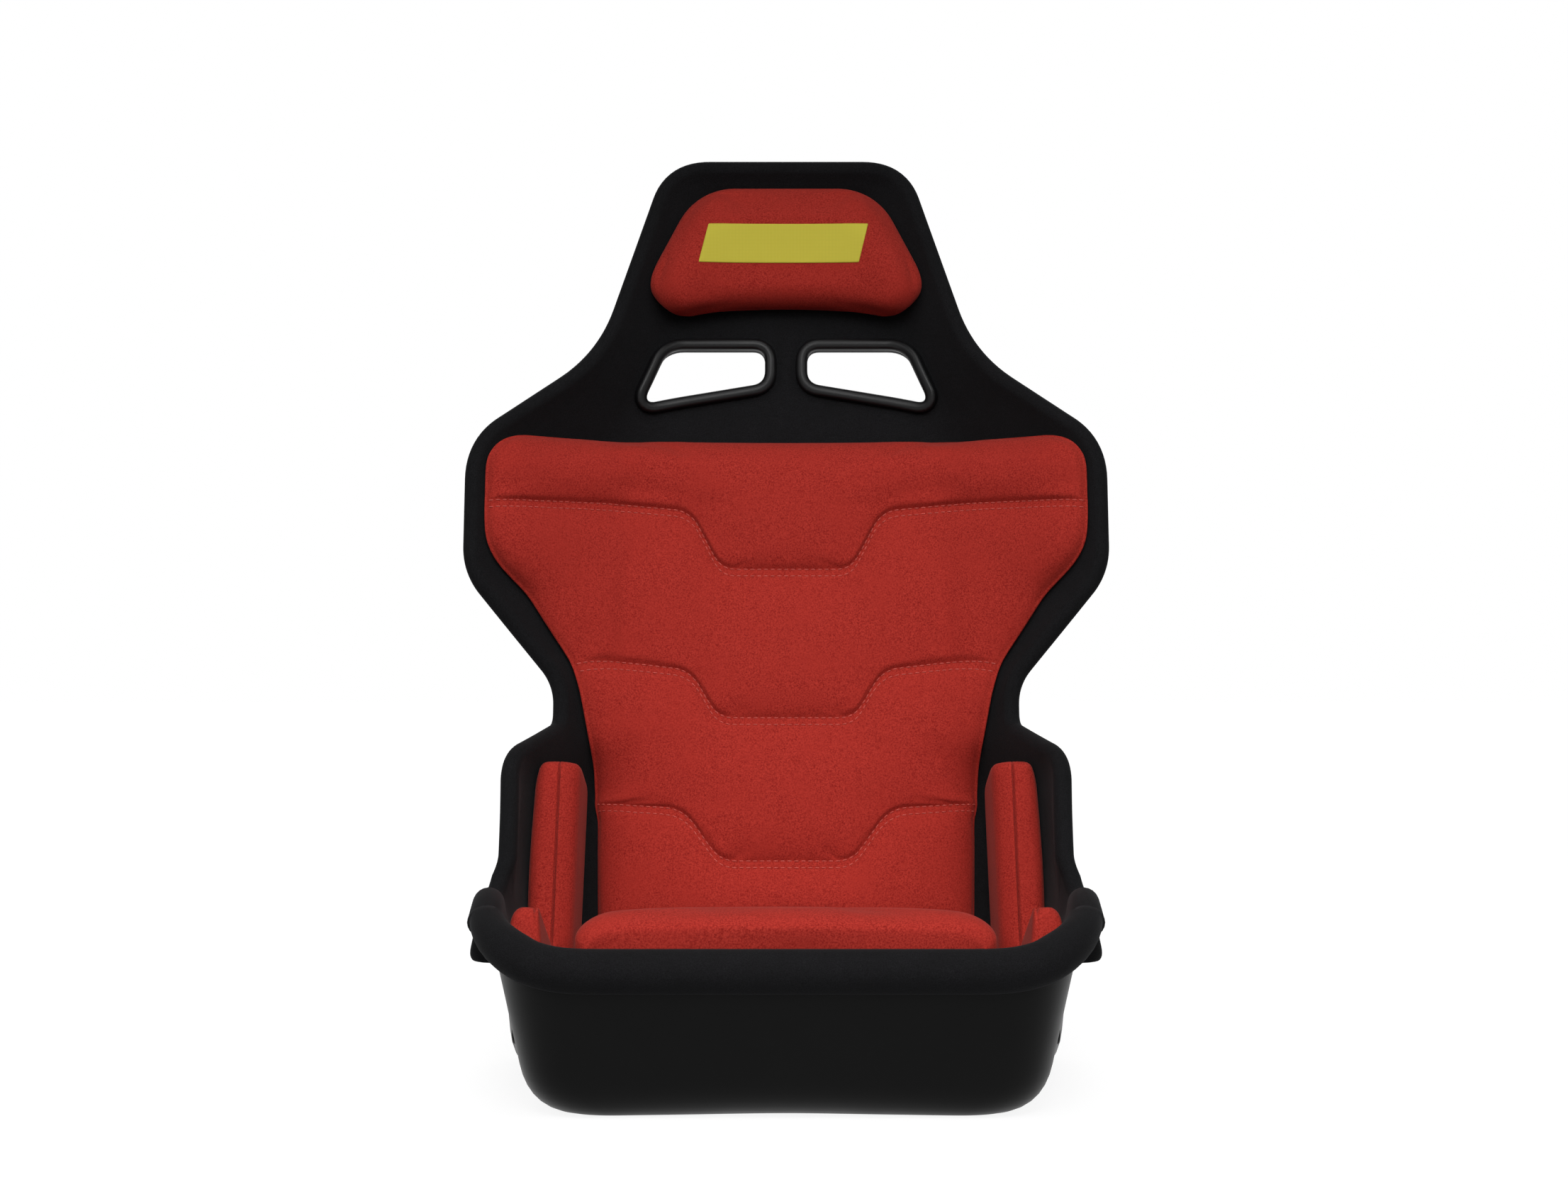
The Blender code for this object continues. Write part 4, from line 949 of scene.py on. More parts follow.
@dataclass
class TubForm:
    """The tub's surface: rim, wall foot and middle line, lofted from lip to head."""

    wall: float = 0.004
    foam: float = 0.010
    back_foot: float = 0.200
    slope: float = RECLINE
    front: tuple[float, float, float] = (0.232, -0.220, 0.110)
    thigh: tuple[float, float, float] = (0.233, -0.100, 0.157)
    dip: tuple[float, float, float] = (0.246, 0.030, 0.142)
    hip: tuple[float, float, float] = (0.248, 0.2699, 0.150)
    waist: tuple[float, float, float, float] = (0.2074, 0.2906, 0.3371, 0.062)
    shoulder: tuple[float, float, float, float] = (0.2887, 0.4415, 0.5582, 0.102)
    neck: tuple[float, float, float] = (0.172, 0.6427, 0.055)
    head: tuple[float, float, float] = (0.1095, 0.8312, 0.022)
    floor_halves: tuple[float, float, float] = (0.202, 0.210, 0.236)
    floor_front: float = -0.185
    flats: tuple[float, float, float, float, float] = (0.204, 0.166, 0.172, 0.125, 0.080)
    head_flat_height: float = 0.800
    floor_shares: tuple[float, float, float] = (0.25, 0.30, 0.62)
    rear_share: float = 0.3
    hip_shares: tuple[float, float] = (0.82, 0.5)
    foot_falls: tuple[float, float, float] = (0.2, 0.13, 0.2)
    middle_steps: tuple[float, float, float] = (0.0, 0.010, 0.025)
    head_shares: tuple[float, float] = (0.68, 0.80)
    bight: float = 0.085
    rim_blends: tuple[float, ...] = (
        0, 0.075, 0.045, 0.050, 0.02, 0.022, 0.018, 0.022, 0.022, 0.034, 0.050, 0.036, 0)
    foot_blends: tuple[float, ...] = (0, 0.060, 0.03, 0.03)
    middle_blends: tuple[float, ...] = (0, 0.003, 0.005, 0.03)
    back_blends: tuple[float, ...] = (0.02, 0.02, 0.02, 0.03, 0.03, 0.03, 0.02, 0)
    fillet: float = 0.038
    head_fillet: float = 0.014
    fillet_share: float = 0.6
    front_sweep: float = 0.65
    front_roll: tuple[float, float] = (0.018, 0.0125)
    thigh_roll: tuple[float, float] = (0.0133, 0.0097)
    upper_roll: tuple[float, float] = (0.0085, 0.0045)
    overhang: float = 0.0145
    wall_relief: float = 0.0045
    rim_relief: float = 0.0040
    corner_climb: float = 0.006
    roll_steps: int = 3
    density: int = 4
    leg_steps: tuple[int, ...] = (4, 2, 3, 2, 2, 1, 1, 3, 3, 4, 5, 3)
    corner_steps: tuple[int, ...] = (6, 3, 3, 3, 3, 3, 3, 3, 3, 3, 3)
    wall_steps: tuple[int, int, int] = (8, 8, 7)
    sections: Array = field(init=False)
    normals: Array = field(init=False)

    def __post_init__(self) -> None:
        """Work out the sections and their normals once."""
        self.sections = self.make_sections()
        self.normals = self.make_normals(self.sections)

    def row(self, legs: int, corners: int) -> int:
        """The row that ends a number of legs and rounded corners from the front."""
        return self.density * (sum(self.leg_steps[:legs]) + sum(self.corner_steps[:corners]))

    def on_back(self, half: float, height: float, depth: float = 0.0) -> tuple[float, float, float]:
        """A point beside the tub's back line, or in front of it by a depth."""
        return (half, self.back_foot + self.slope * height - depth, height)

    def lines(self) -> list[Array]:
        """The tub's three lines on the sitter's left half, from front lip to head.

        Returns:
            Points of the rim, of the wall's foot and of the middle line, alike in number.
        """
        low = self.wall
        hip = self.on_back(*self.hip)
        dip = np.array(self.dip)
        waist, low_waist, high_waist, waist_depth = self.waist
        shoulder, low_shoulder, high_shoulder, shoulder_depth = self.shoulder
        hip_flat, waist_flat, shoulder_flat, neck_flat, head_flat = self.flats
        front_floor, middle_floor, rear_floor = self.floor_halves
        rim = np.array([
            (0, self.front[1], self.front[2]), self.front, self.thigh, self.dip,
            tuple(lerp(dip, np.array(hip), 0.5)), hip,
            self.on_back(waist, low_waist, waist_depth), self.on_back(waist, high_waist, waist_depth),
            self.on_back(shoulder, low_shoulder, shoulder_depth),
            self.on_back(shoulder, high_shoulder, shoulder_depth),
            self.on_back(*self.neck), self.on_back(*self.head),
            self.on_back(0, self.head[1], self.head[2]),
        ])
        bight = self.on_back(0, low)
        thigh_floor, start, middle_dip = [
            lerp(self.floor_front, self.back_foot, share) for share in self.floor_shares]
        waist_fall, shoulder_fall, neck_fall = self.foot_falls
        heights = (
            lerp(low, self.hip[1], self.hip_shares[0]),
            lerp(self.hip[1], low_waist, self.hip_shares[1]),
            high_waist - waist_fall * waist_depth, low_shoulder - shoulder_fall * shoulder_depth,
            high_shoulder - shoulder_fall * shoulder_depth, self.neck[1] - neck_fall * self.neck[2],
        )
        halves = (hip_flat, waist_flat, waist_flat, shoulder_flat, shoulder_flat, neck_flat)
        foot = np.array([
            (0, self.floor_front, low), (front_floor, self.floor_front, low),
            (middle_floor, thigh_floor, low), (rear_floor, middle_dip, low),
            (lerp(rear_floor, hip_flat, self.rear_share), bight[1], low),
            *[self.on_back(half, height) for half, height in zip(halves, heights)],
            self.on_back(head_flat, self.head_flat_height), self.on_back(0, self.head_flat_height),
        ])
        middle = np.array([
            *[(0, start + step, low) for step in self.middle_steps], (0, middle_dip, low), bight,
            *[self.on_back(0, height) for height in heights],
            *[self.on_back(0, lerp(self.neck[1], self.head_flat_height, share))
              for share in self.head_shares],
        ])
        blends = (
            self.rim_blends, (*self.foot_blends, self.bight, *self.back_blends),
            (*self.middle_blends, self.bight, *self.back_blends),
        )
        legs = [self.density * steps for steps in self.leg_steps]
        rounds = [self.density * steps for steps in self.corner_steps]
        sweeps = (self.front_sweep, 0.0, 0.0)
        return [rounded_path(line, blend, legs, rounds, sweep)
                for line, blend, sweep in zip((rim, foot, middle), blends, sweeps)]

    def make_sections(self) -> Array:
        """Sections of the tub on the sitter's left half.

        Returns:
            Rows of points from the middle line to the rim.
        """
        rim, foot, middle = self.lines()
        narrow_from, narrow_to = self.row(9, 9), self.row(11, 10)
        sections = []
        for index, (edge, base, centre) in enumerate(zip(rim, foot, middle)):
            narrow = ease((index - narrow_from) / (narrow_to - narrow_from))
            fillet = lerp(self.fillet, self.head_fillet, narrow)
            inner = float(np.linalg.norm(base - centre))
            outer = float(np.linalg.norm(edge - base))
            reach = min(fillet, self.fillet_share * inner, self.fillet_share * outer)
            arrive = lerp(base, centre, reach / inner)
            leave = lerp(base, edge, reach / outer)
            flat, curve, wall = self.wall_steps
            line = [lerp(centre, arrive, step / flat) for step in range(flat)]
            line += list(bend(arrive, base, leave, curve))
            line += [lerp(leave, edge, step / wall) for step in range(1, wall + 1)]
            sections.append(line)
        return np.array(sections)

    def make_normals(self, grid: Array) -> Array:
        """Normals of the sections, with the mirrored half taken in.

        Args:
            grid: The sections' points.

        Returns:
            Normals that face the sitter.
        """
        before = np.concatenate((grid[1:2] * MIRROR, grid[:-1]))
        after = np.concatenate((grid[1:], grid[-2:-1] * MIRROR))
        inner = np.concatenate((grid[:, 1:2] * MIRROR, grid[:, :-1]), axis=1)
        outer = np.concatenate((grid[:, 1:], grid[:, -1:]), axis=1)
        normals = unit(np.cross(outer - inner, after - before))
        normals[0, :, 0] = 0
        normals[-1, :, 0] = 0
        normals[:, 0, 0] = 0
        return unit(normals)

    def offset(self, distance: float) -> Array:
        """The sections moved along their normals."""
        return self.sections + self.normals * distance

    def face(self) -> Array:
        """The lining's face: foam over the tub, thinner on the walls beside hips and thighs.

        Returns:
            Its points, in the sections' order.
        """
        started = self.passed(self.row(1, 1), self.row(2, 1))
        beside = started * (1 - self.passed(self.row(4, 4), self.row(5, 5)))
        thigh = started * (1 - self.passed(self.row(2, 2), self.row(3, 2)))
        flat, curve, wall = self.wall_steps
        columns = np.arange(self.sections.shape[1])
        on_wall, at_rim = ease((columns - flat) / curve), ease((columns - flat - curve) / wall)
        foam = self.foam + GAP - self.wall_relief * beside * on_wall - self.rim_relief * thigh * at_rim
        return self.sections + self.normals * foam[..., None]

    def passed(self, start: int, end: int) -> Array:
        """How far each row has gone between two others, as a smooth step."""
        return ease((np.arange(len(self.sections)) - start) / (end - start))[:, None]

    def rolls(self) -> tuple[Array, Array, Array]:
        """The padded edge round the rim, thick in front and thin above the hips.

        Returns:
            Radius of each row's edge, its centre's height over the rim and its overhang.
        """
        rows = np.arange(len(self.sections))[:, None]
        change = self.roll_steps * self.density
        thigh = self.passed(self.row(1, 0) + change, self.row(2, 1))
        upper = self.passed(self.row(2, 2), self.row(3, 3))
        ending = self.passed(self.row(3, 2), self.row(4, 3))
        radius, rise = [
            lerp(lerp(front, side, thigh), thin, upper)
            for front, side, thin in zip(self.front_roll, self.thigh_roll, self.upper_roll)]
        climb = self.corner_climb * np.exp(-((rows - self.row(1, 1)) / change) ** 2)
        return radius, rise + climb, self.overhang * thigh * (1 - ending)

    def edge_frame(self) -> tuple[Array, Array, Array]:
        """The rim and the directions that its padded edge is built on.

        Returns:
            Points of the rim, directions into the tub and directions out past the rim.
        """
        rim = self.sections[:, -1]
        before = np.concatenate((rim[1:2] * MIRROR, rim[:-1]))
        after = np.concatenate((rim[1:], rim[-2:-1] * MIRROR))
        inward = self.normals[:, -1]
        return rim, inward, unit(np.cross(after - before, inward))


@dataclass
class Tub:
    """The moulded tub with its holes, bosses and threaded inserts."""

    form: TubForm
    boss_radius: float = 0.0115
    boss_draft: float = 1.05
    boss_root: float = 0.001
    boss_edge: float = 0.0006
    boss_points: int = 40
    boss_crease: float = 35.0
    insert_radius: float = 0.0073
    insert_depth: float = 0.0095
    clear_of_wall: float = 0.1
    mounts: tuple[tuple[float, float, float], ...] = (
        (0.2245, -0.115, 0.062), (0.2485, 0.175, 0.062))

    def build(self, slots: "BeltSlots", crotch: "CrotchSlot") -> None:
        """Make the tub's shell, cut it and add the bosses.

        Args:
            slots: Shoulder belt slots.
            crotch: Crotch strap slot.
        """
        form = self.form
        grid = np.concatenate((form.sections, form.offset(-form.wall)[:, ::-1]), axis=1)
        shell = mirrored_skin("tub_shell", grid)
        outside = surface_tree(shell)
        cut(shell, belt_holes(slots, crotch))
        crease(shell, HARD_CREASE)
        GELCOAT.on(shell)
        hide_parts("shell")
        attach(shell, "tub")
        places = [(side, mount) for side in Side for mount in self.mounts]
        bosses = joined("mount_bosses", [self.boss(outside, *place) for place in places])
        GELCOAT.on(bosses)
        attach(bosses, "tub")
        LOG.info("tub shell and %d bosses", len(places))

    def boss(self, outside: BVHTree, side: Side, mount: Sequence[float]) -> Object:
        """A flat round boss on the tub's side, open for its insert.

        Args:
            outside: Search tree of the shell.
            side: Side of the tub.
            mount: Middle of the boss's face on the sitter's left.

        Returns:
            The boss.
        """
        angles = np.linspace(0, 2 * math.pi, self.boss_points, endpoint=False)
        ring = np.stack((np.zeros_like(angles), np.cos(angles), np.sin(angles)), axis=1)
        face = side.placed(mount)
        inward = side.placed((-1.0, 0.0, 0.0))
        feet = []
        for spoke in ring * self.boss_radius:
            start = face + spoke * self.boss_draft - inward * self.clear_of_wall
            feet.append(cast(outside, start, inward)[0] + inward * self.boss_root)
        hole = face + ring * self.insert_radius
        rings = [
            feet, face + ring * self.boss_radius + inward * self.boss_edge,
            face + ring * (self.boss_radius - self.boss_edge), hole, hole + inward * self.insert_depth,
        ]
        return loft(f"boss_{side.label}", rings, sharp=self.boss_crease)


@dataclass
class CrotchSlot:
    """The crotch strap's slot through floor and cushion."""

    y: float = -0.060
    width: float = 0.070
    length: float = 0.030
    corner: float = 0.012
    corner_points: int = 8
    clearance: float = 0.0033
    floor_cut: tuple[float, float] = (-0.05, 0.05)

    def outline(self, grow: float, height: float) -> Array:
        """The slot's rounded outline at a height.

        Args:
            grow: How much larger it is, all round.
            height: Height of its points.

        Returns:
            The outline's points.
        """
        half, deep = self.width / 2 + grow, self.length / 2 + grow
        corners = [(-half, -deep), (half, -deep), (half, deep), (-half, deep)]
        points = np.array([(x, self.y + y, height) for x, y in corners])
        return rounded_outline(points, [self.corner] * len(corners), self.corner_points)

    def cutter(self, grow: float, heights: Sequence[float]) -> Object:
        """A closed body in the shape of the slot, grown all round, between two heights."""
        return loft("crotch_cutter", [self.outline(grow, height) for height in heights])


@dataclass
class BeltSlots:
    """The shoulder belt slots and the frames on both faces of the tub."""

    form: TubForm
    inner: float = 0.0205
    top_outer: float = 0.1165
    bottom_outer: float = 0.1405
    top: float = 0.6555
    inner_bottom: float = 0.6225
    outer_bottom: float = 0.6025
    blends: tuple[float, float, float, float] = (0.012, 0.018, 0.015, 0.012)
    front_size: tuple[float, float] = (0.0112, 0.0085)
    rear_size: tuple[float, float] = (0.010, 0.004)
    corner_points: int = 8
    cut_depths: tuple[float, float] = (0.2, 0.5)
    crown_points: int = 13
    edge_share: float = 0.42
    spacing: float = 0.003
    frame_crease: float = 60.0

    def outline(self, side: Side, y: float) -> Array:
        """The slot's outline as seen from the front.

        Args:
            side: Side of the slot.
            y: Depth of its points.

        Returns:
            The outline's points.
        """
        corners = np.array([
            (self.inner, y, self.top), (self.top_outer, y, self.top),
            (self.bottom_outer, y, self.outer_bottom), (self.inner, y, self.inner_bottom),
        ])
        return side.placed(rounded_outline(corners, self.blends, self.corner_points))

    def cutter(self, side: Side) -> Object:
        """A closed body in the shape of the slot."""
        return loft("slot_cutter", [self.outline(side, y) for y in self.cut_depths])

    def frame(self, name: str, outline: Array, tree: BVHTree, facing: float,
              size: tuple[float, float]) -> Object:
        """A round-backed frame laid along an outline.

        Args:
            name: Name of the piece.
            outline: Outline of the opening.
            tree: Surface that the frame lies on.
            facing: Direction along Y in which the surface is met.
            size: Width and height of the frame's section.

        Returns:
            The frame.
        """
        width, height = size
        direction = np.array((0.0, facing, 0.0))
        points, normals = laid(tree, (outline - direction)[None], direction)
        base, ups = points[0], normals[0]
        across = 0.5 - 0.5 * np.cos(np.linspace(0, math.pi, self.crown_points))
        dome = lerp(self.edge_share, 1.0, np.sqrt(np.clip(1 - (2 * across - 1) ** 2, 0, 1)))
        rings = []
        for point, up, out in zip(base, ups, outward(base, ups)):
            feet = []
            for share in (0.0, 0.5, 1.0):
                foot, _ = cast(tree, point + out * (share * width) - direction, direction)
                feet.append(foot + up * GAP)
            crown = []
            for share, rise in zip(across, dome):
                half = 0 if share < 0.5 else 1
                crown.append(lerp(feet[half], feet[half + 1], 2 * share - half) + up * (rise * height))
            rings.append(crown + feet[::-1])
        return loft(name, rings, closed=True, sharp=self.frame_crease)

    def build(self) -> None:
        """Lay the frames on the lining and on the tub's back."""
        lining = guide_tree(self.form.offset(self.form.foam + GAP))
        back = guide_tree(self.form.offset(-self.form.wall))
        for side in Side:
            outline = refined(self.outline(side, 0.0), self.spacing)
            for label, tree, facing, size in (
                    ("front", lining, 1.0, self.front_size), ("rear", back, -1.0, self.rear_size)):
                # The front frames are met from the tub's middle, the rear ones from behind it.
                place = outline + np.array((0, max(facing, 0.0), 0))
                name = f"belt_slot_frame_{label}_{side.label}"
                piece = self.frame(name, place, tree, facing, size)
                ABS.on(piece)
                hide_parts(f"harness_bezel_{label}_{side.label}")
                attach(piece, "tub")
        LOG.info("four belt slot frames")


def belt_holes(slots: BeltSlots, crotch: CrotchSlot) -> Object:
    """Closed bodies in the shape of all the belts' holes, as one object."""
    floor = crotch.cutter(crotch.clearance, crotch.floor_cut)
    return joined("holes", [*map(slots.cutter, Side), floor])


@dataclass
class Lining:
    """The velour cover: one skin over the tub's inside, round its rim and over its padded edges."""

    form: TubForm
    arc_steps: int = 18
    crest_angle: float = 1.75

    def build(self, slots: BeltSlots, crotch: CrotchSlot) -> BVHTree:
        """Make the skin and cut it for the belts.

        Args:
            slots: Shoulder belt slots.
            crotch: Crotch strap slot.

        Returns:
            Search tree of the lining's face.
        """
        form = self.form
        rim, inward, out = form.edge_frame()
        radius, rise, overhang = form.rolls()
        middle = (form.foam + GAP - form.wall) / 2 - overhang
        inner = math.pi - np.arcsin(np.clip((form.foam + GAP - middle) / radius, -1, 1))
        inner = np.minimum(inner, self.crest_angle)
        outer = np.arcsin(np.clip((form.wall + GAP + middle) / radius, -1, 1)) - math.pi
        columns = [form.face()[:, :-1]]
        for step in range(self.arc_steps + 1):
            angle = lerp(inner, outer, step / self.arc_steps)
            point = rim + out * (rise + radius * np.cos(angle))
            point = point + inward * (middle + radius * np.sin(angle))
            columns.append(point[:, None])
        tuck = rim + out * GAP - inward * (form.wall + GAP)
        columns += [tuck[:, None], (rim + out * GAP + inward * GAP)[:, None]]
        columns.append(form.offset(GAP)[:, -2::-1])
        skin = mirrored_skin("velour_lining", np.concatenate(columns, axis=1))
        cut(skin, belt_holes(slots, crotch))
        crease(skin, CLOTH_CREASE)
        VELOUR.on(skin)
        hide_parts("seat_cover", "back_cover", "front_roll", "upper_roll")
        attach(skin, "tub")
        LOG.info("velour lining of %d faces", len(skin.data.polygons))
        return guide_tree(form.face())


@dataclass
class CoverHems:
    """The cover's hems, folded outwards under the thigh bolsters."""

    form: TubForm
    front_y: float = -0.100
    rear_y: float = 0.010
    half: float = 0.2635
    bottom: float = 0.115
    drop: float = 0.030
    flare: float = 0.006
    roots: tuple[float, float] = (0.004, 0.003)
    end_share: float = 0.35
    fold: tuple[float, float] = (0.45, 0.27)
    brim: tuple[float, float] = (0.80, 0.003)
    blends: tuple[float, ...] = (0.002, 0.002, 0.004, 0.008, 0.006, 0.003)
    stations: int = 25
    corner_points: int = 4
    hem_crease: float = 60.0

    def build(self) -> None:
        """Make both hems."""
        outside = guide_tree(self.form.offset(-self.form.wall))
        shares = [station / (self.stations - 1) for station in range(self.stations)]
        for side in Side:
            rings = [self.ring(outside, side, share) for share in shares]
            hem = loft(f"velour_hem_{side.label}", rings, sharp=self.hem_crease)
            VELOUR.on(hem)
            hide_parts(f"cover_hem_{side.label}")
            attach(hem, "tub")
        LOG.info("two hems")

    def ring(self, outside: BVHTree, side: Side, share: float) -> Array:
        """One section of a hem.

        Args:
            outside: Search tree of the tub's outside.
            side: Side of the hem.
            share: How far along the hem it is, from the front.

        Returns:
            The section's points.
        """
        y = lerp(self.front_y, self.rear_y, share)
        rims = self.form.sections[:, -1]
        rims = rims[rims[:, 2] < self.form.thigh[2]]
        near = rims[np.argmin(np.abs(rims[:, 1] - y))]
        top = min(near[2] - self.form.wall, self.bottom + self.drop)
        low, high = [
            abs(cast(outside, (side.value, y, height), (-side.value, 0, 0))[0][0])
            for height in (self.bottom, top)]
        full = min(1.0, self.end_share + math.sqrt(max(0.0, 1 - (2 * share - 1) ** 2)))
        reach = lerp(low + self.roots[0], self.half, full)
        start = max(high + self.roots[1], reach - self.flare)
        shape = np.array([
            (low + GAP, y, self.bottom), (high + GAP, y, top), (start, y, top),
            (lerp(start, reach, self.fold[0]), y, lerp(top, self.bottom, self.fold[1])),
            (reach, y, lerp(top, self.bottom, self.brim[0])), (reach - self.brim[1], y, self.bottom),
        ])
        return side.placed(rounded_outline(shape, self.blends, self.corner_points))


@dataclass
class HeadPad:
    """The head pad: a crowned pillow with a plain woven patch."""

    top: float = 0.817
    bottom: float = 0.6962
    top_half: float = 0.088
    bottom_half: float = 0.148
    high_corner: float = 0.040
    low_corner: float = 0.050
    thickness: float = 0.033
    rounding: float = 0.011
    border: float = 0.42
    sag: float = 0.0115
    even: float = 0.045
    lift: float = 0.0021
    bow: float = 0.003
    crown: tuple[float, float] = (0.10, 0.05)
    swell: float = 0.001
    cap: float = 0.005
    corner_points: int = 24
    spacing: tuple[float, float] = (0.005, 0.006)
    patch_size: tuple[float, float] = (0.1541, 0.0386)
    patch_place: tuple[float, float] = (-0.0025, 0.7578)
    patch_shear: float = 0.242
    patch_edge: tuple[tuple[float, float], ...] = (
        (0.0, -0.0010), (0.0, 0.0004), (0.0003, 0.0008), (0.0009, 0.0010))
    patch_insets: tuple[float, ...] = (0.002, 0.004, 0.007, 0.010, 0.014, 0.0192)
    patch_blend: tuple[float, float, float] = (0.0012, 0.4, 0.0003)
    patch_points: tuple[int, int] = (6, 24)
    patch_crease: float = 80.0

    def build(self, face: BVHTree) -> None:
        """Make the pad and its patch.

        Args:
            face: Search tree of the lining's face.
        """
        corners = np.array(((0, self.bottom), (self.bottom_half, self.bottom),
                            (self.top_half, self.top), (0, self.top)))
        blends = (0, self.low_corner, self.high_corner, 0)
        outline = rounded_path(corners, blends, (1,) * 4, (self.corner_points,) * 4)
        span = (self.top - self.bottom) / 2
        high_spacing, wide_spacing = self.spacing
        from_edge = edge_steps(span, high_spacing)
        heights = [self.top - step for step in from_edge]
        heights += [self.bottom + step for step in from_edge[-2::-1]]
        inset = 1 - np.array(edge_steps(self.bottom_half, wide_spacing)) / self.bottom_half
        spreads = np.concatenate((-inset, inset[-2::-1]))
        starts, fill, sag = [], [], []
        for height in heights:
            half = half_at(outline, height)
            end = min(self.top - height, height - self.bottom)
            xs = spreads * half
            bow = self.bow * (1 - spreads ** 2) * (self.top - height) / (self.top - self.bottom)
            starts.append(np.stack((xs, np.zeros_like(xs), height + bow), axis=1))
            border = nearest_edge(np.full_like(xs, end), half * (1 - np.abs(spreads)))
            climb = (height - self.bottom) / span - 1
            crown = 1 - self.crown[0] * spreads ** 2 - self.crown[1] * climb ** 2
            sag.append(np.full_like(xs, self.sag * max(0.0, -climb) ** 2))
            fill.append(self.thickness * fullness(border, self.rounding, self.border) * crown)
        points, normals = laid(face, np.array(starts), REARWARDS)
        under = points + normals * self.lift
        over = raised(under, normals, np.array(fill), RECLINE, self.even)
        over += np.array(sag)[..., None] * unit(np.array((0.0, -RECLINE, -1.0)))
        pad = stuffed("head_pad_cover", under, over, self.swell)
        inflated(pad, range(under.shape[0] * under.shape[1]), self.cap)
        softened(pad)
        SUEDE.on(pad)
        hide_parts("head_pad")
        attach(pad, "head_pad")
        self.patch(surface_tree(pad))
        LOG.info("head pad")

    def patch(self, tree: BVHTree) -> None:
        """A plain slanted cloth patch, sewn flat on the pad.

        Args:
            tree: Search tree of the pad.
        """
        width, tall = self.patch_size
        aside, middle = self.patch_place
        corners = np.array([(-width / 2, -tall / 2), (width / 2, -tall / 2),
                            (width / 2, tall / 2), (-width / 2, tall / 2)])
        most, fall, least = self.patch_blend
        flat = self.patch_edge[-1][1]
        rings = []
        for inset, rise in (*self.patch_edge, *[(inset, flat) for inset in self.patch_insets]):
            scale = 1 - 2 * inset / np.array((width, tall))
            ring = []
            for x, z in self.ring(corners * scale, max(most - fall * inset, least)):
                start = (aside + x + self.patch_shear * z, -1.0, middle + z)
                point, normal = cast(tree, start, REARWARDS)
                ring.append(point + normal * rise)
            rings.append(ring)
        patch = loft("woven_patch", rings, sharp=self.patch_crease)
        BADGE.on(patch)
        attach(patch, "head_pad")

    def ring(self, corners: Array, blend: float) -> Array:
        """A rounded rectangle of a fixed number of points.

        Args:
            corners: Its corners.
            blend: Blend length at each corner.

        Returns:
            Its points.
        """
        around, along = self.patch_points
        outline = rounded_outline(corners, [blend] * len(corners), around)
        points = []
        for index, point in enumerate(outline):
            after = outline[(index + 1) % len(outline)]
            steps = 1 if (index + 1) % (around + 1) else along
            points += [lerp(point, after, step / steps) for step in range(steps)]
        return np.array(points)


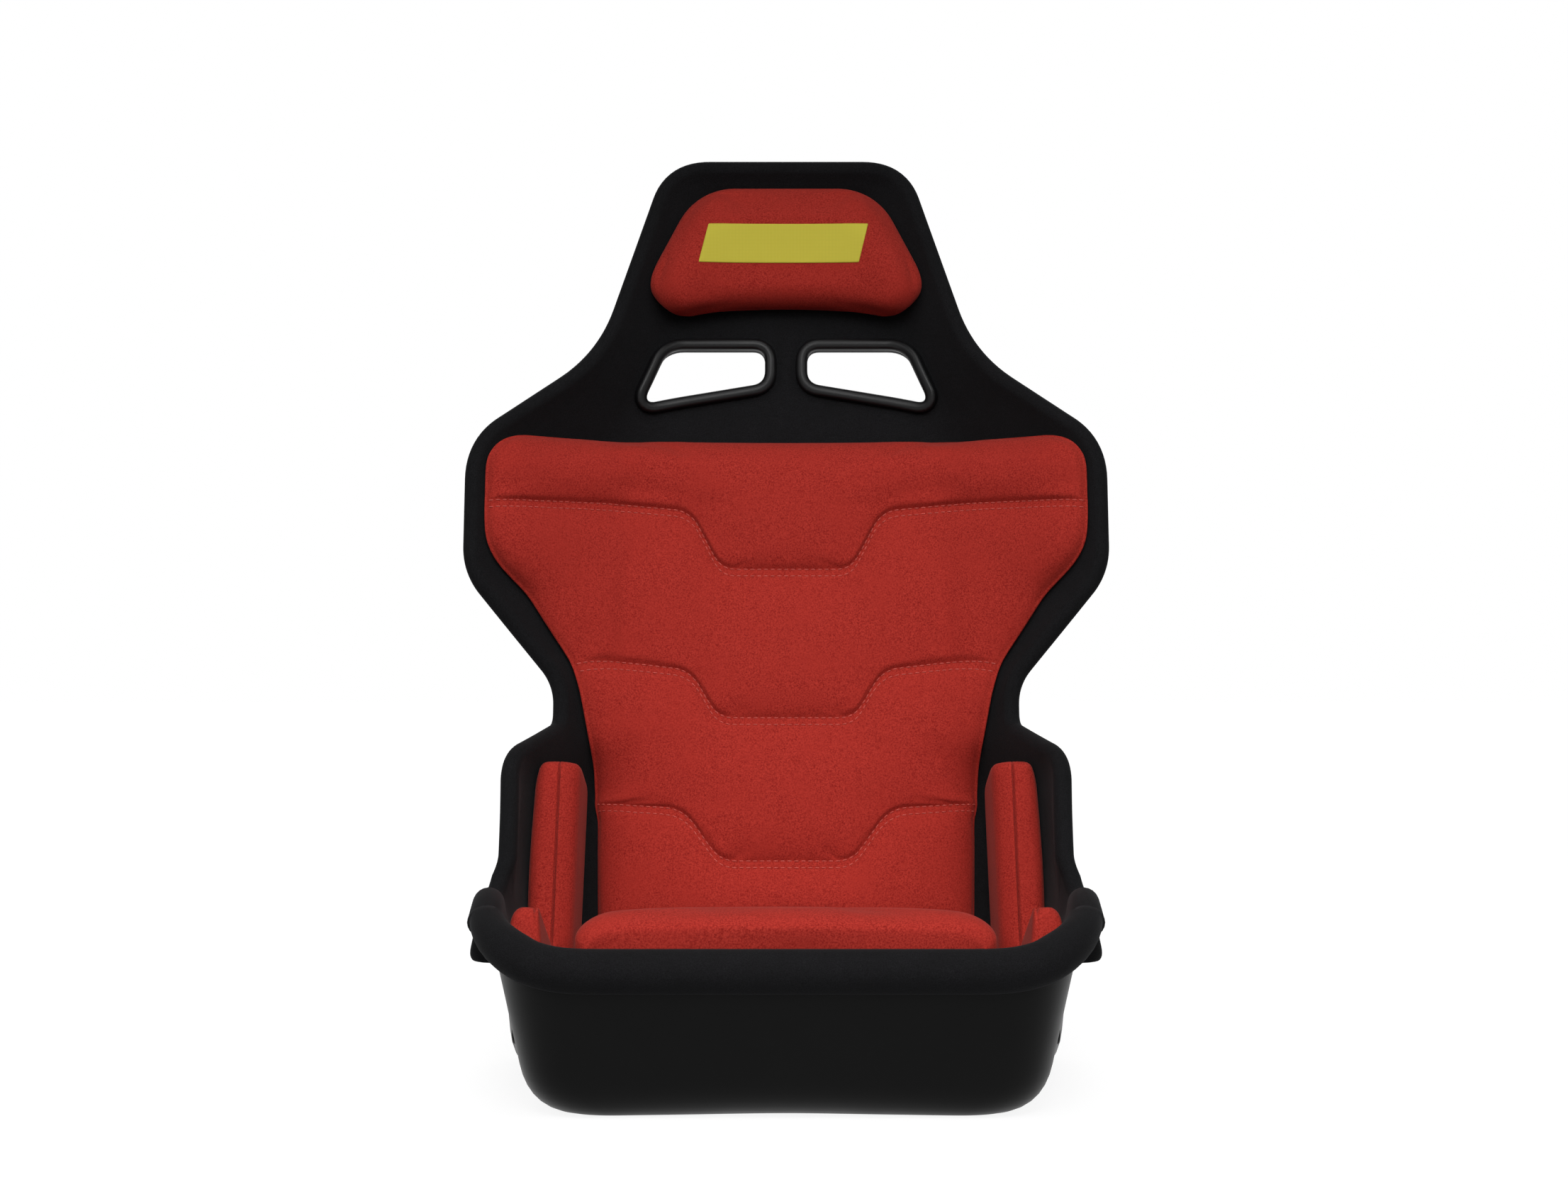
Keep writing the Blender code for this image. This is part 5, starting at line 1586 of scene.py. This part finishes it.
@dataclass
class BackCushion:
    """The back cushion: four stuffed panels between three double-sewn step seams."""

    corners: tuple[tuple[float, float], ...] = (
        (0, 0.098), (0.1725, 0.098), (0.1742, 0.208), (0.1775, 0.219), (0.1812, 0.262), (0.1930, 0.328),
        (0.2000, 0.352), (0.2270, 0.3955), (0.2425, 0.421), (0.2560, 0.4345), (0.2700, 0.4505),
        (0.2786, 0.4680), (0.2802, 0.486), (0.2802, 0.568), (0, 0.568))
    blends: tuple[float, ...] = (0, *(0.010,) * 12, 0.036, 0)
    thickness: float = 0.036
    puff: float = 0.003
    rounding: float = 0.028
    border: float = 0.16
    wing_share: float = 0.62
    wing_reach: float = 0.10
    lift: float = 0.0021
    top_bow: float = 0.006
    even: float = 0.034
    seams: tuple[tuple[tuple[float, float], ...], ...] = (
        ((0, 0.4352), (0.0615, 0.4352), (0.0915, 0.4905), (0.2802, 0.5053)),
        ((0, 0.2967), (0.0638, 0.2967), (0.0903, 0.3404), (0.2000, 0.3520)),
        ((0, 0.1660), (0.0609, 0.1660), (0.0957, 0.2133), (0.1776, 0.2220)))
    seam_blends: tuple[float, ...] = (0, 0.014, 0.018, 0)
    seam_depth: float = 0.0048
    second_row: float = 0.0064
    step_end: float = 0.112
    crest_half: float = 0.25
    top_start: float = 0.018
    above: tuple[float, ...] = (0.0008, 0.0018, 0.0030, 0.0046, 0.007, 0.011, 0.016)
    below: tuple[float, ...] = (0.0, 0.0012, 0.003, 0.005, 0.0064, 0.0078, 0.0105, 0.015)
    foot: tuple[float, ...] = (0.016, 0.010, 0.006, 0.003, 0.0012, 0.0)
    panel_rows: int = 14
    middle_points: int = 30
    side_points: int = 14
    corner_points: int = 12
    seam_legs: tuple[int, int, int] = (4, 4, 8)
    seam_rounds: tuple[int, int] = (16, 16)
    crease_widths: tuple[float, float] = (0.0027, 0.0105)
    second_width: float = 0.0013
    second_depth: float = 0.0006
    swell: float = 0.002
    cap: float = 0.0045
    stitch_margin: float = 0.001
    stitch_lift: float = 0.0003

    def seam(self, index: int, x: Array) -> Array:
        """Heights of a step seam: high at the sides, low in the middle.

        Args:
            index: Which seam, from the top.
            x: Distances from the middle.

        Returns:
            Heights at those places.
        """
        line = rounded_path(
            np.array(self.seams[index]), self.seam_blends, self.seam_legs, self.seam_rounds)
        return np.interp(np.abs(x), line[:, 0], line[:, 1])

    def crest(self, x: Array) -> Array:
        """Heights of the cushion's top edge, a little lower in the middle."""
        return self.corners[-1][1] - self.top_bow * np.clip(1 - (x / self.crest_half) ** 2, 0, 1)

    def rows(self) -> list[tuple[int, float, float]]:
        """The cushion's grid from top to bottom, close together at seams and edges.

        Returns:
            Each row's panel, its share of the way down the panel and an extra rise.
        """
        rows = [(0, 0.0, -step) for step in (*BORDER_STEPS, self.top_start)]
        last = len(self.seams)
        for panel in range(last + 1):
            start = self.below[-1] if panel else self.top_start
            end = self.above[-1] if panel < last else self.foot[0]
            if panel:
                rows += [(panel, 0.0, -step) for step in self.below]
            for step in range(1, self.panel_rows):
                share = step / self.panel_rows
                rows.append((panel, share, lerp(-start, end, share)))
            if panel < last:
                rows += [(panel, 1.0, step) for step in self.above[::-1]]
        return rows + [(last, 1.0, step) for step in self.foot]

    def sunk(self, distance: Array) -> Array:
        """How deep the seams draw the face in.

        Args:
            distance: Heights above a seam's upper row; negative below it.

        Returns:
            Depths at those places.
        """
        over, under = [np.exp(-(distance / width) ** 2) for width in self.crease_widths]
        second = np.exp(-((distance + self.second_row) / self.second_width) ** 2)
        return self.seam_depth * np.where(distance > 0, over, under) + self.second_depth * second

    def build(self, face: BVHTree, stitching: Stitching) -> None:
        """Make the cushion and sew its seams.

        Args:
            face: Search tree of the lining's face.
            stitching: Maker of the stitches.
        """
        spans = len(self.corners) - 1
        outline = rounded_path(
            np.array(self.corners), self.blends, (1,) * spans, (self.corner_points,) * spans)
        bottom, top = self.corners[0][1], self.corners[-1][1]
        side_heights = (top, *[seam[-1][1] for seam in self.seams], bottom)
        middle = np.linspace(0.0, self.step_end, self.middle_points)
        last = len(self.seams)
        starts, fill, edges, sewn = [], [], [], []
        for number, (panel, share, extra) in enumerate(self.rows()):
            at_side = lerp(side_heights[panel], side_heights[panel + 1], share) + extra
            half = half_at(outline, min(max(at_side, bottom), top))
            outer = half - np.array(BORDER_STEPS)[::-1]
            fillers = np.linspace(self.step_end, outer[0], self.side_points)[1:-1]
            right = np.concatenate((middle, fillers, outer))
            xs = np.concatenate((-right[:0:-1], right))
            high = self.seam(panel - 1, xs) if panel else self.crest(xs)
            low = self.seam(panel, xs) if panel < last else np.full_like(xs, bottom)
            height = lerp(high, low, share) + extra
            ends = np.minimum(self.crest(xs) - height, height - bottom)
            edge = np.minimum(ends, half - np.abs(xs))
            depth = sum(self.sunk(height - self.seam(seam, xs)) for seam in range(last))
            puff = self.puff * 4 * share * (1 - share)
            edges.append(np.maximum(edge, 0))
            starts.append(np.stack((xs, np.zeros_like(xs), height), axis=1))
            wing = lerp(self.wing_share, 1.0, ease((half - np.abs(xs)) / self.wing_reach))
            full = fullness(edges[-1], self.rounding, self.border)
            fill.append(((self.thickness + puff) * wing - depth) * full)
            if panel and share == 0.0 and -extra in (0.0, self.second_row):
                sewn.append(number)
        points, normals = laid(face, np.array(starts), REARWARDS)
        under = points + normals * self.lift
        over = raised(under, normals, np.array(fill), RECLINE, self.even)
        count, width = under.shape[:2]
        cushion = stuffed("back_cushion_cover", under, over, self.swell)
        pins = list(range(count * width))
        for row in sewn:
            pins += [count * width + row * width + column for column in range(width)]
        inflated(cushion, pins, self.cap)
        softened(cushion)
        SUEDE.on(cushion)
        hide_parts("back_cushion")
        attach(cushion, "back_cushion")
        tree = surface_tree(cushion)
        lines = [self.stitch_line(tree, over[row][edges[row] > self.stitch_margin]) for row in sewn]
        stitching.sew("back_cushion_stitches", lines, "back_cushion")
        LOG.info("back cushion with %d sewn rows", len(lines))

    def stitch_line(self, tree: BVHTree, row: Array) -> Array:
        """A stitch row laid on the finished cushion, from its front.

        Args:
            tree: Search tree of the cushion.
            row: Points of the sewn row.

        Returns:
            The line on the cushion's face.
        """
        line = []
        for x, _, z in row:
            point, normal = cast(tree, (x, -1.0, z), REARWARDS)
            line.append(point + normal * self.stitch_lift)
        return np.array(line)


@dataclass
class SeatCushion:
    """The seat cushion: a fat front roll falling to the back, with the crotch strap's slot."""

    half: float = 0.1735
    front: float = -0.180
    rear: float = 0.150
    front_top: float = 0.1652
    rear_top: float = 0.104
    crown: float = 0.006
    nose: float = 0.028
    nose_drop: float = 0.50
    undercut: float = 0.045
    undercut_length: float = 0.10
    tail: float = 0.024
    tail_drop: float = 0.7
    side_round: float = 0.030
    side_fall: float = 0.016
    side_power: float = 3
    end_inset: float = 0.010
    inset_length: float = 0.012
    dimple: tuple[float, float] = (0.007, 0.011)
    dimple_margin: float = 0.01
    slot_grow: float = 0.014
    slot_cut: tuple[float, float] = (-0.05, 0.4)
    lift: float = 0.0021
    swell: float = 0.003
    cap: float = 0.004
    end_length: float = 0.030
    end_spacing: float = 0.005
    inside_points: int = 42
    across_spacing: float = 0.006

    def build(self, face: BVHTree, crotch: CrotchSlot) -> None:
        """Make the cushion.

        Args:
            face: Search tree of the lining's face.
            crotch: Slot that passes through it.
        """
        near = edge_steps(self.end_length, self.end_spacing)
        length = self.rear - self.front
        inside = np.linspace(self.end_length, length - self.end_length, self.inside_points)[1:-1]
        along = [*near, *inside, *[length - step for step in near[::-1]]]
        across = edge_steps(self.half, self.across_spacing)
        xs = np.array([step - self.half for step in across]
                      + [self.half - step for step in across[-2::-1]])
        side = np.clip(1 - (self.half - np.abs(xs)) / self.side_round, 0, 1)
        fall = self.crown * np.abs(xs / self.half) ** self.side_power
        fall += self.side_fall * (1 - np.sqrt(1 - side ** 2))
        depth, reach = self.dimple
        starts, over = [], []
        for step in along:
            y = self.front + step
            slope = lerp(self.front_top, self.rear_top, ease(step / length))
            ends = np.array((1 - step / self.nose, 1 - (length - step) / self.tail)).clip(0, 1)
            drop = self.nose_drop * self.nose * (1 - math.sqrt(1 - ends[0] ** 2))
            drop += self.tail_drop * self.tail * (1 - math.sqrt(1 - ends[1] ** 2))
            aside = np.maximum(np.abs(xs) - crotch.width / 2 - self.dimple_margin, 0)
            ahead = max(abs(y - crotch.y) - crotch.length / 2 - self.dimple_margin, 0)
            dimple = depth * np.exp(-(np.sqrt(aside ** 2 + ahead ** 2) / reach) ** 2)
            inset = sum(self.end_inset * max(0.0, 1 - end / self.inset_length) ** 2
                        for end in (step, length - step))
            narrow = xs * (1 - inset / self.half)
            tucked = y + self.undercut * max(0.0, 1 - step / self.undercut_length) ** 2
            foot = (narrow, np.full_like(xs, tucked), np.full_like(xs, self.front_top))
            starts.append(np.stack(foot, axis=1))
            top = slope - drop - fall - dimple
            over.append(np.stack((narrow, np.full_like(xs, y), top), axis=1))
        points, _ = laid(face, np.array(starts), DOWNWARDS)
        under = points + np.array((0, 0, self.lift))
        cushion = stuffed("seat_cushion_cover", under, np.array(over), self.swell)
        inflated(cushion, range(under.shape[0] * under.shape[1]), self.cap)
        softened(cushion)
        cut(cushion, crotch.cutter(self.slot_grow, self.slot_cut))
        crease(cushion, CLOTH_CREASE)
        SUEDE.on(cushion)
        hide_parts("seat_cushion")
        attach(cushion, "seat_cushion")
        LOG.info("seat cushion")


@dataclass
class SidePads:
    """The L-shaped pads that fill the corner beside each hip and thigh."""

    top: tuple[float, float, float] = (0.2045, 0.138, 0.272)
    corner: tuple[float, float, float] = (0.2090, 0.092, 0.101)
    front: tuple[float, float, float] = (0.2095, -0.084, 0.162)
    inner: tuple[float, float] = (0.1850, 0.1900)
    bend_length: float = 0.018
    steps: tuple[int, int, int] = (40, 14, 50)
    lift: float = 0.0008
    end_round: float = 0.012
    end_fill: float = 0.80
    wall_shares: tuple[float, float] = (0.45, 0.08)
    under_share: float = 0.40
    crown: tuple[float, float] = (0.35, 0.0012)
    groove: tuple[float, float] = (0.0014, 0.0034)
    ridge: tuple[float, float] = (0.0045, 0.0035)
    ridge_sink: float = 0.0007
    face_across: tuple[float, float] = (0.86, 0.25)
    face_down: tuple[float, float] = (0.09, 0.30)
    inner_down: tuple[float, float] = (0.26, 0.70)
    centre: tuple[float, float] = (0.6, 0.5)
    blends: tuple[float, ...] = (
        0.008, 0.010, 0.006, 0.0009, 0.0005, 0.0009, 0.005, 0.012, 0.012, 0.004, 0.008)
    corner_points: int = 3

    def build(self, face: BVHTree) -> None:
        """Make both pads.

        Args:
            face: Search tree of the lining's face.
        """
        hip, bend_steps, thigh = self.steps
        corners = np.array((self.top, self.corner, self.front))
        path = rounded_path(corners, (0, self.bend_length, 0), (hip, thigh), (bend_steps,))
        travelled = np.concatenate(([0], np.cumsum(np.linalg.norm(np.diff(path, axis=0), axis=1))))
        rings = []
        for index, ridge in enumerate(path):
            along = path[min(index + 1, len(path) - 1)] - path[max(index - 1, 0)]
            up = unit(np.cross((1.0, 0.0, 0.0), along))
            if up[1] > 0 or up[2] < 0:
                up = -up
            end = min(travelled[index], travelled[-1] - travelled[index])
            near = min(1.0, end / self.end_round)
            inner = lerp(*self.inner, min(1.0, index / hip))
            leg = float(ease((index - hip) / bend_steps))
            full = lerp(self.end_fill, 1.0, math.sqrt(1 - (1 - near) ** 2))
            rings.append(self.ring(face, ridge, up, inner, leg, full))
        for side in Side:
            pad = loft(f"side_pad_cover_{side.label}", side.placed(rings), sharp=NO_CREASE)
            softened(pad)
            SUEDE.on(pad)
            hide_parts(f"side_pad_{side.label}")
            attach(pad, f"side_pad_{side.label}")
        LOG.info("two side pads")

    def ring(self, face: BVHTree, seam: Array, up: Array, inner: float, leg: float,
             full: float) -> Array:
        """One section of the pad across its seam.

        Args:
            face: Search tree of the lining's face.
            seam: Point of the seam along the pad's ridge.
            up: Direction in which the pad faces.
            inner: Distance of the pad's inner side from the middle.
            leg: 0 beside the hip, 1 beside the thigh.
            full: How full the section is; less at the ends.

        Returns:
            The section's points.
        """
        def depth_at(x: float) -> float:
            """Depth of the lining under the seam's height, at a distance from the middle."""
            start = np.array((x, seam[1], seam[2]))
            point, _ = cast(face, start, -up)
            return float(np.linalg.norm(point - start)) - self.lift

        def width_at(depth: float) -> float:
            """Distance of the lining's wall from the middle, at a depth."""
            start = np.array((0.5 * inner, seam[1], seam[2])) - up * depth
            point, _ = cast(face, start, (1, 0, 0))
            return float(point[0]) - self.lift

        deep = depth_at(inner)
        low_wall, high_wall = [share * deep for share in self.wall_shares]
        outer = width_at(high_wall)
        under_x = lerp(inner, outer, self.under_share)
        line = seam[0]
        ridge = line - lerp(*self.ridge, leg)
        half_groove, groove = self.groove
        corners = np.array([
            (width_at(low_wall), low_wall), (outer, high_wall),
            (lerp(outer, line, self.crown[0]), -self.crown[1]),
            (line + half_groove, 0.0), (line, groove), (line - half_groove, 0.0),
            (ridge, self.ridge_sink),
            (lerp(ridge, inner, lerp(*self.face_across, leg)), lerp(*self.face_down, leg) * deep),
            (inner, lerp(*self.inner_down, leg) * deep), (inner, deep),
            (under_x, depth_at(under_x)),
        ])
        shape = rounded_outline(corners, self.blends, self.corner_points)
        centre = np.array((lerp(inner, outer, self.centre[0]), self.centre[1] * deep))
        shape = lerp(centre, shape, full)
        base = np.array((0.0, seam[1], seam[2]))
        return np.array([base + np.array((x, 0, 0)) - up * sunk for x, sunk in shape])


def dress_hard_parts() -> None:
    """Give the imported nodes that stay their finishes."""
    finishes = {"mount_insert": ZINC, "crotch_grommet": ABS, "hook_strip": HOOK}
    for name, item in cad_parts.items():
        for part, finish in finishes.items():
            if part in name:
                piece = item if isinstance(item, bpy.types.Object) else bpy.data.objects[name]
                for slot in piece.material_slots:
                    slot.material = finish.material()
                LOG.info("%s: %s", name, finish.name)


@dataclass(frozen=True)
class Softbox:
    """A square soft light: where it hangs, what it faces, its side, watts and angle in degrees."""

    name: str
    place: tuple[float, float, float]
    aim: tuple[float, float, float]
    size: float
    power: float
    spread: float

    def hang(self) -> None:
        """Put the light in the scene."""
        lamp = bpy.data.lights.new(self.name, "AREA")
        lamp.size = self.size
        lamp.energy = self.power
        lamp.spread = math.radians(self.spread)
        item = linked(self.name, lamp)
        item.location = self.place
        facing = Vector(self.aim) - Vector(self.place)
        item.rotation_euler = facing.to_track_quat("-Z", "Y").to_euler()


@dataclass
class Studio:
    """Pale floor, soft light and the photograph's camera."""

    distance: float = 2.68
    eye: float = 0.425
    focal_pixels: float = 4400.0
    middle_pixel: float = 1109.0
    sensor: float = 36.0
    softboxes: tuple[Softbox, ...] = (
        Softbox("key_softbox", (0.0, -1.9, 1.5), (0.0, 0.0, 0.08), 1.2, 4.0, 52.0),
        Softbox("fill_softbox", (0.0, -2.5, 1.0), (0.0, 0.12, 0.2), 1.0, 0.75, 36.0),
        Softbox("top_softbox", (0.0, -0.8, 2.1), (0.0, -0.1, 0.1), 1.2, 3.5, 100.0),
        Softbox("rear_softbox", (0.0, 2.0, 1.9), (0.0, 0.35, 0.45), 1.6, 8.0, 120.0),
        Softbox("side_softbox_left", (1.6, -1.3, 1.6), (0.0, 0.1, 0.15), 1.2, 3.0, 90.0),
        Softbox("side_softbox_right", (-1.6, -1.3, 1.6), (0.0, 0.1, 0.15), 1.2, 3.0, 90.0))
    floor_half: float = 9.0
    floor_drop: float = 0.0005
    floor_colour: str = "#6A6A6A"
    glow_near: tuple[float, float] = (0.4, 0.89)
    glow_far: tuple[float, float] = (2.2, 1.0)
    surround: float = 0.10

    def build(self) -> None:
        """Make the camera, floor, lights and world."""
        scene = bpy.context.scene
        scene.view_settings.view_transform = "Standard"
        camera = bpy.data.cameras.new("camera")
        camera.sensor_width = self.sensor
        camera.lens = self.focal_pixels / PHOTO_WIDTH * self.sensor
        camera.shift_x = -(self.middle_pixel - PHOTO_WIDTH / 2) / PHOTO_WIDTH
        view = linked("camera", camera)
        view.location = (0.0, -self.distance, self.eye)
        view.rotation_euler = (math.radians(90), 0.0, 0.0)
        scene.camera = view
        self.floor()
        for softbox in self.softboxes:
            softbox.hang()
        self.world()

    def floor(self) -> None:
        """A wide pale floor that keeps the seat's soft shadow."""
        mesh = bpy.data.meshes.new("studio_floor")
        corners = [(x * self.floor_half, y * self.floor_half, -self.floor_drop)
                   for x, y in ((-1, -1), (1, -1), (1, 1), (-1, 1))]
        mesh.from_pydata(corners, [], [(0, 1, 2, 3)])
        item = linked("studio_floor", mesh)
        paper = bpy.data.materials.new("white_paper_floor")
        paper.use_nodes = True
        tree = paper.node_tree
        path = add(tree, "ShaderNodeLightPath")
        seen = add(tree, "ShaderNodeMath", {"operation": "MAXIMUM"}, {
            0: path.outputs["Is Camera Ray"], 1: path.outputs["Is Glossy Ray"]})
        place = add(tree, "ShaderNodeTexCoord").outputs["Object"]
        far = add(tree, "ShaderNodeVectorMath", {"operation": "LENGTH"}, {0: place})
        level = add(tree, "ShaderNodeMapRange", inputs={
            "Value": far.outputs["Value"], "From Min": self.glow_near[0],
            "From Max": self.glow_far[0], "To Min": self.glow_near[1], "To Max": self.glow_far[1]})
        glow = add(tree, "ShaderNodeMath", {"operation": "MULTIPLY"}, {
            0: seen.outputs[0], 1: level.outputs["Result"]})
        feed(tree, tree.nodes["Principled BSDF"], {
            "Base Color": linear(self.floor_colour), "Roughness": 0.9,
            "Emission Color": linear("#FFFFFF"), "Emission Strength": glow.outputs[0]})
        mesh.materials.append(paper)

    def world(self) -> None:
        """An even white surround."""
        world = bpy.data.worlds.new("studio_surround")
        world.use_nodes = True
        tree = world.node_tree
        path = add(tree, "ShaderNodeLightPath")
        seen = add(tree, "ShaderNodeMath", {"operation": "MAXIMUM"}, {
            0: path.outputs["Is Camera Ray"], 1: path.outputs["Is Transmission Ray"]})
        strength = add(tree, "ShaderNodeMapRange", inputs={
            "Value": seen.outputs[0], "To Min": self.surround, "To Max": 1.0})
        feed(tree, tree.nodes["Background"], {
            "Color": linear("#FFFFFF"), "Strength": strength.outputs["Result"]})
        bpy.context.scene.world = world


def main() -> None:
    """Build the seat's pieces in order."""
    logging.basicConfig(level=logging.INFO, format="%(message)s")
    Studio().build()
    form = TubForm()
    slots = BeltSlots(form)
    crotch = CrotchSlot()
    stitching = Stitching()
    Tub(form).build(slots, crotch)
    face = Lining(form).build(slots, crotch)
    slots.build()
    CoverHems(form).build()
    HeadPad().build(face)
    BackCushion().build(face, stitching)
    SeatCushion().build(face, crotch)
    SidePads().build(face)
    dress_hard_parts()


if __name__ == "__main__":
    main()
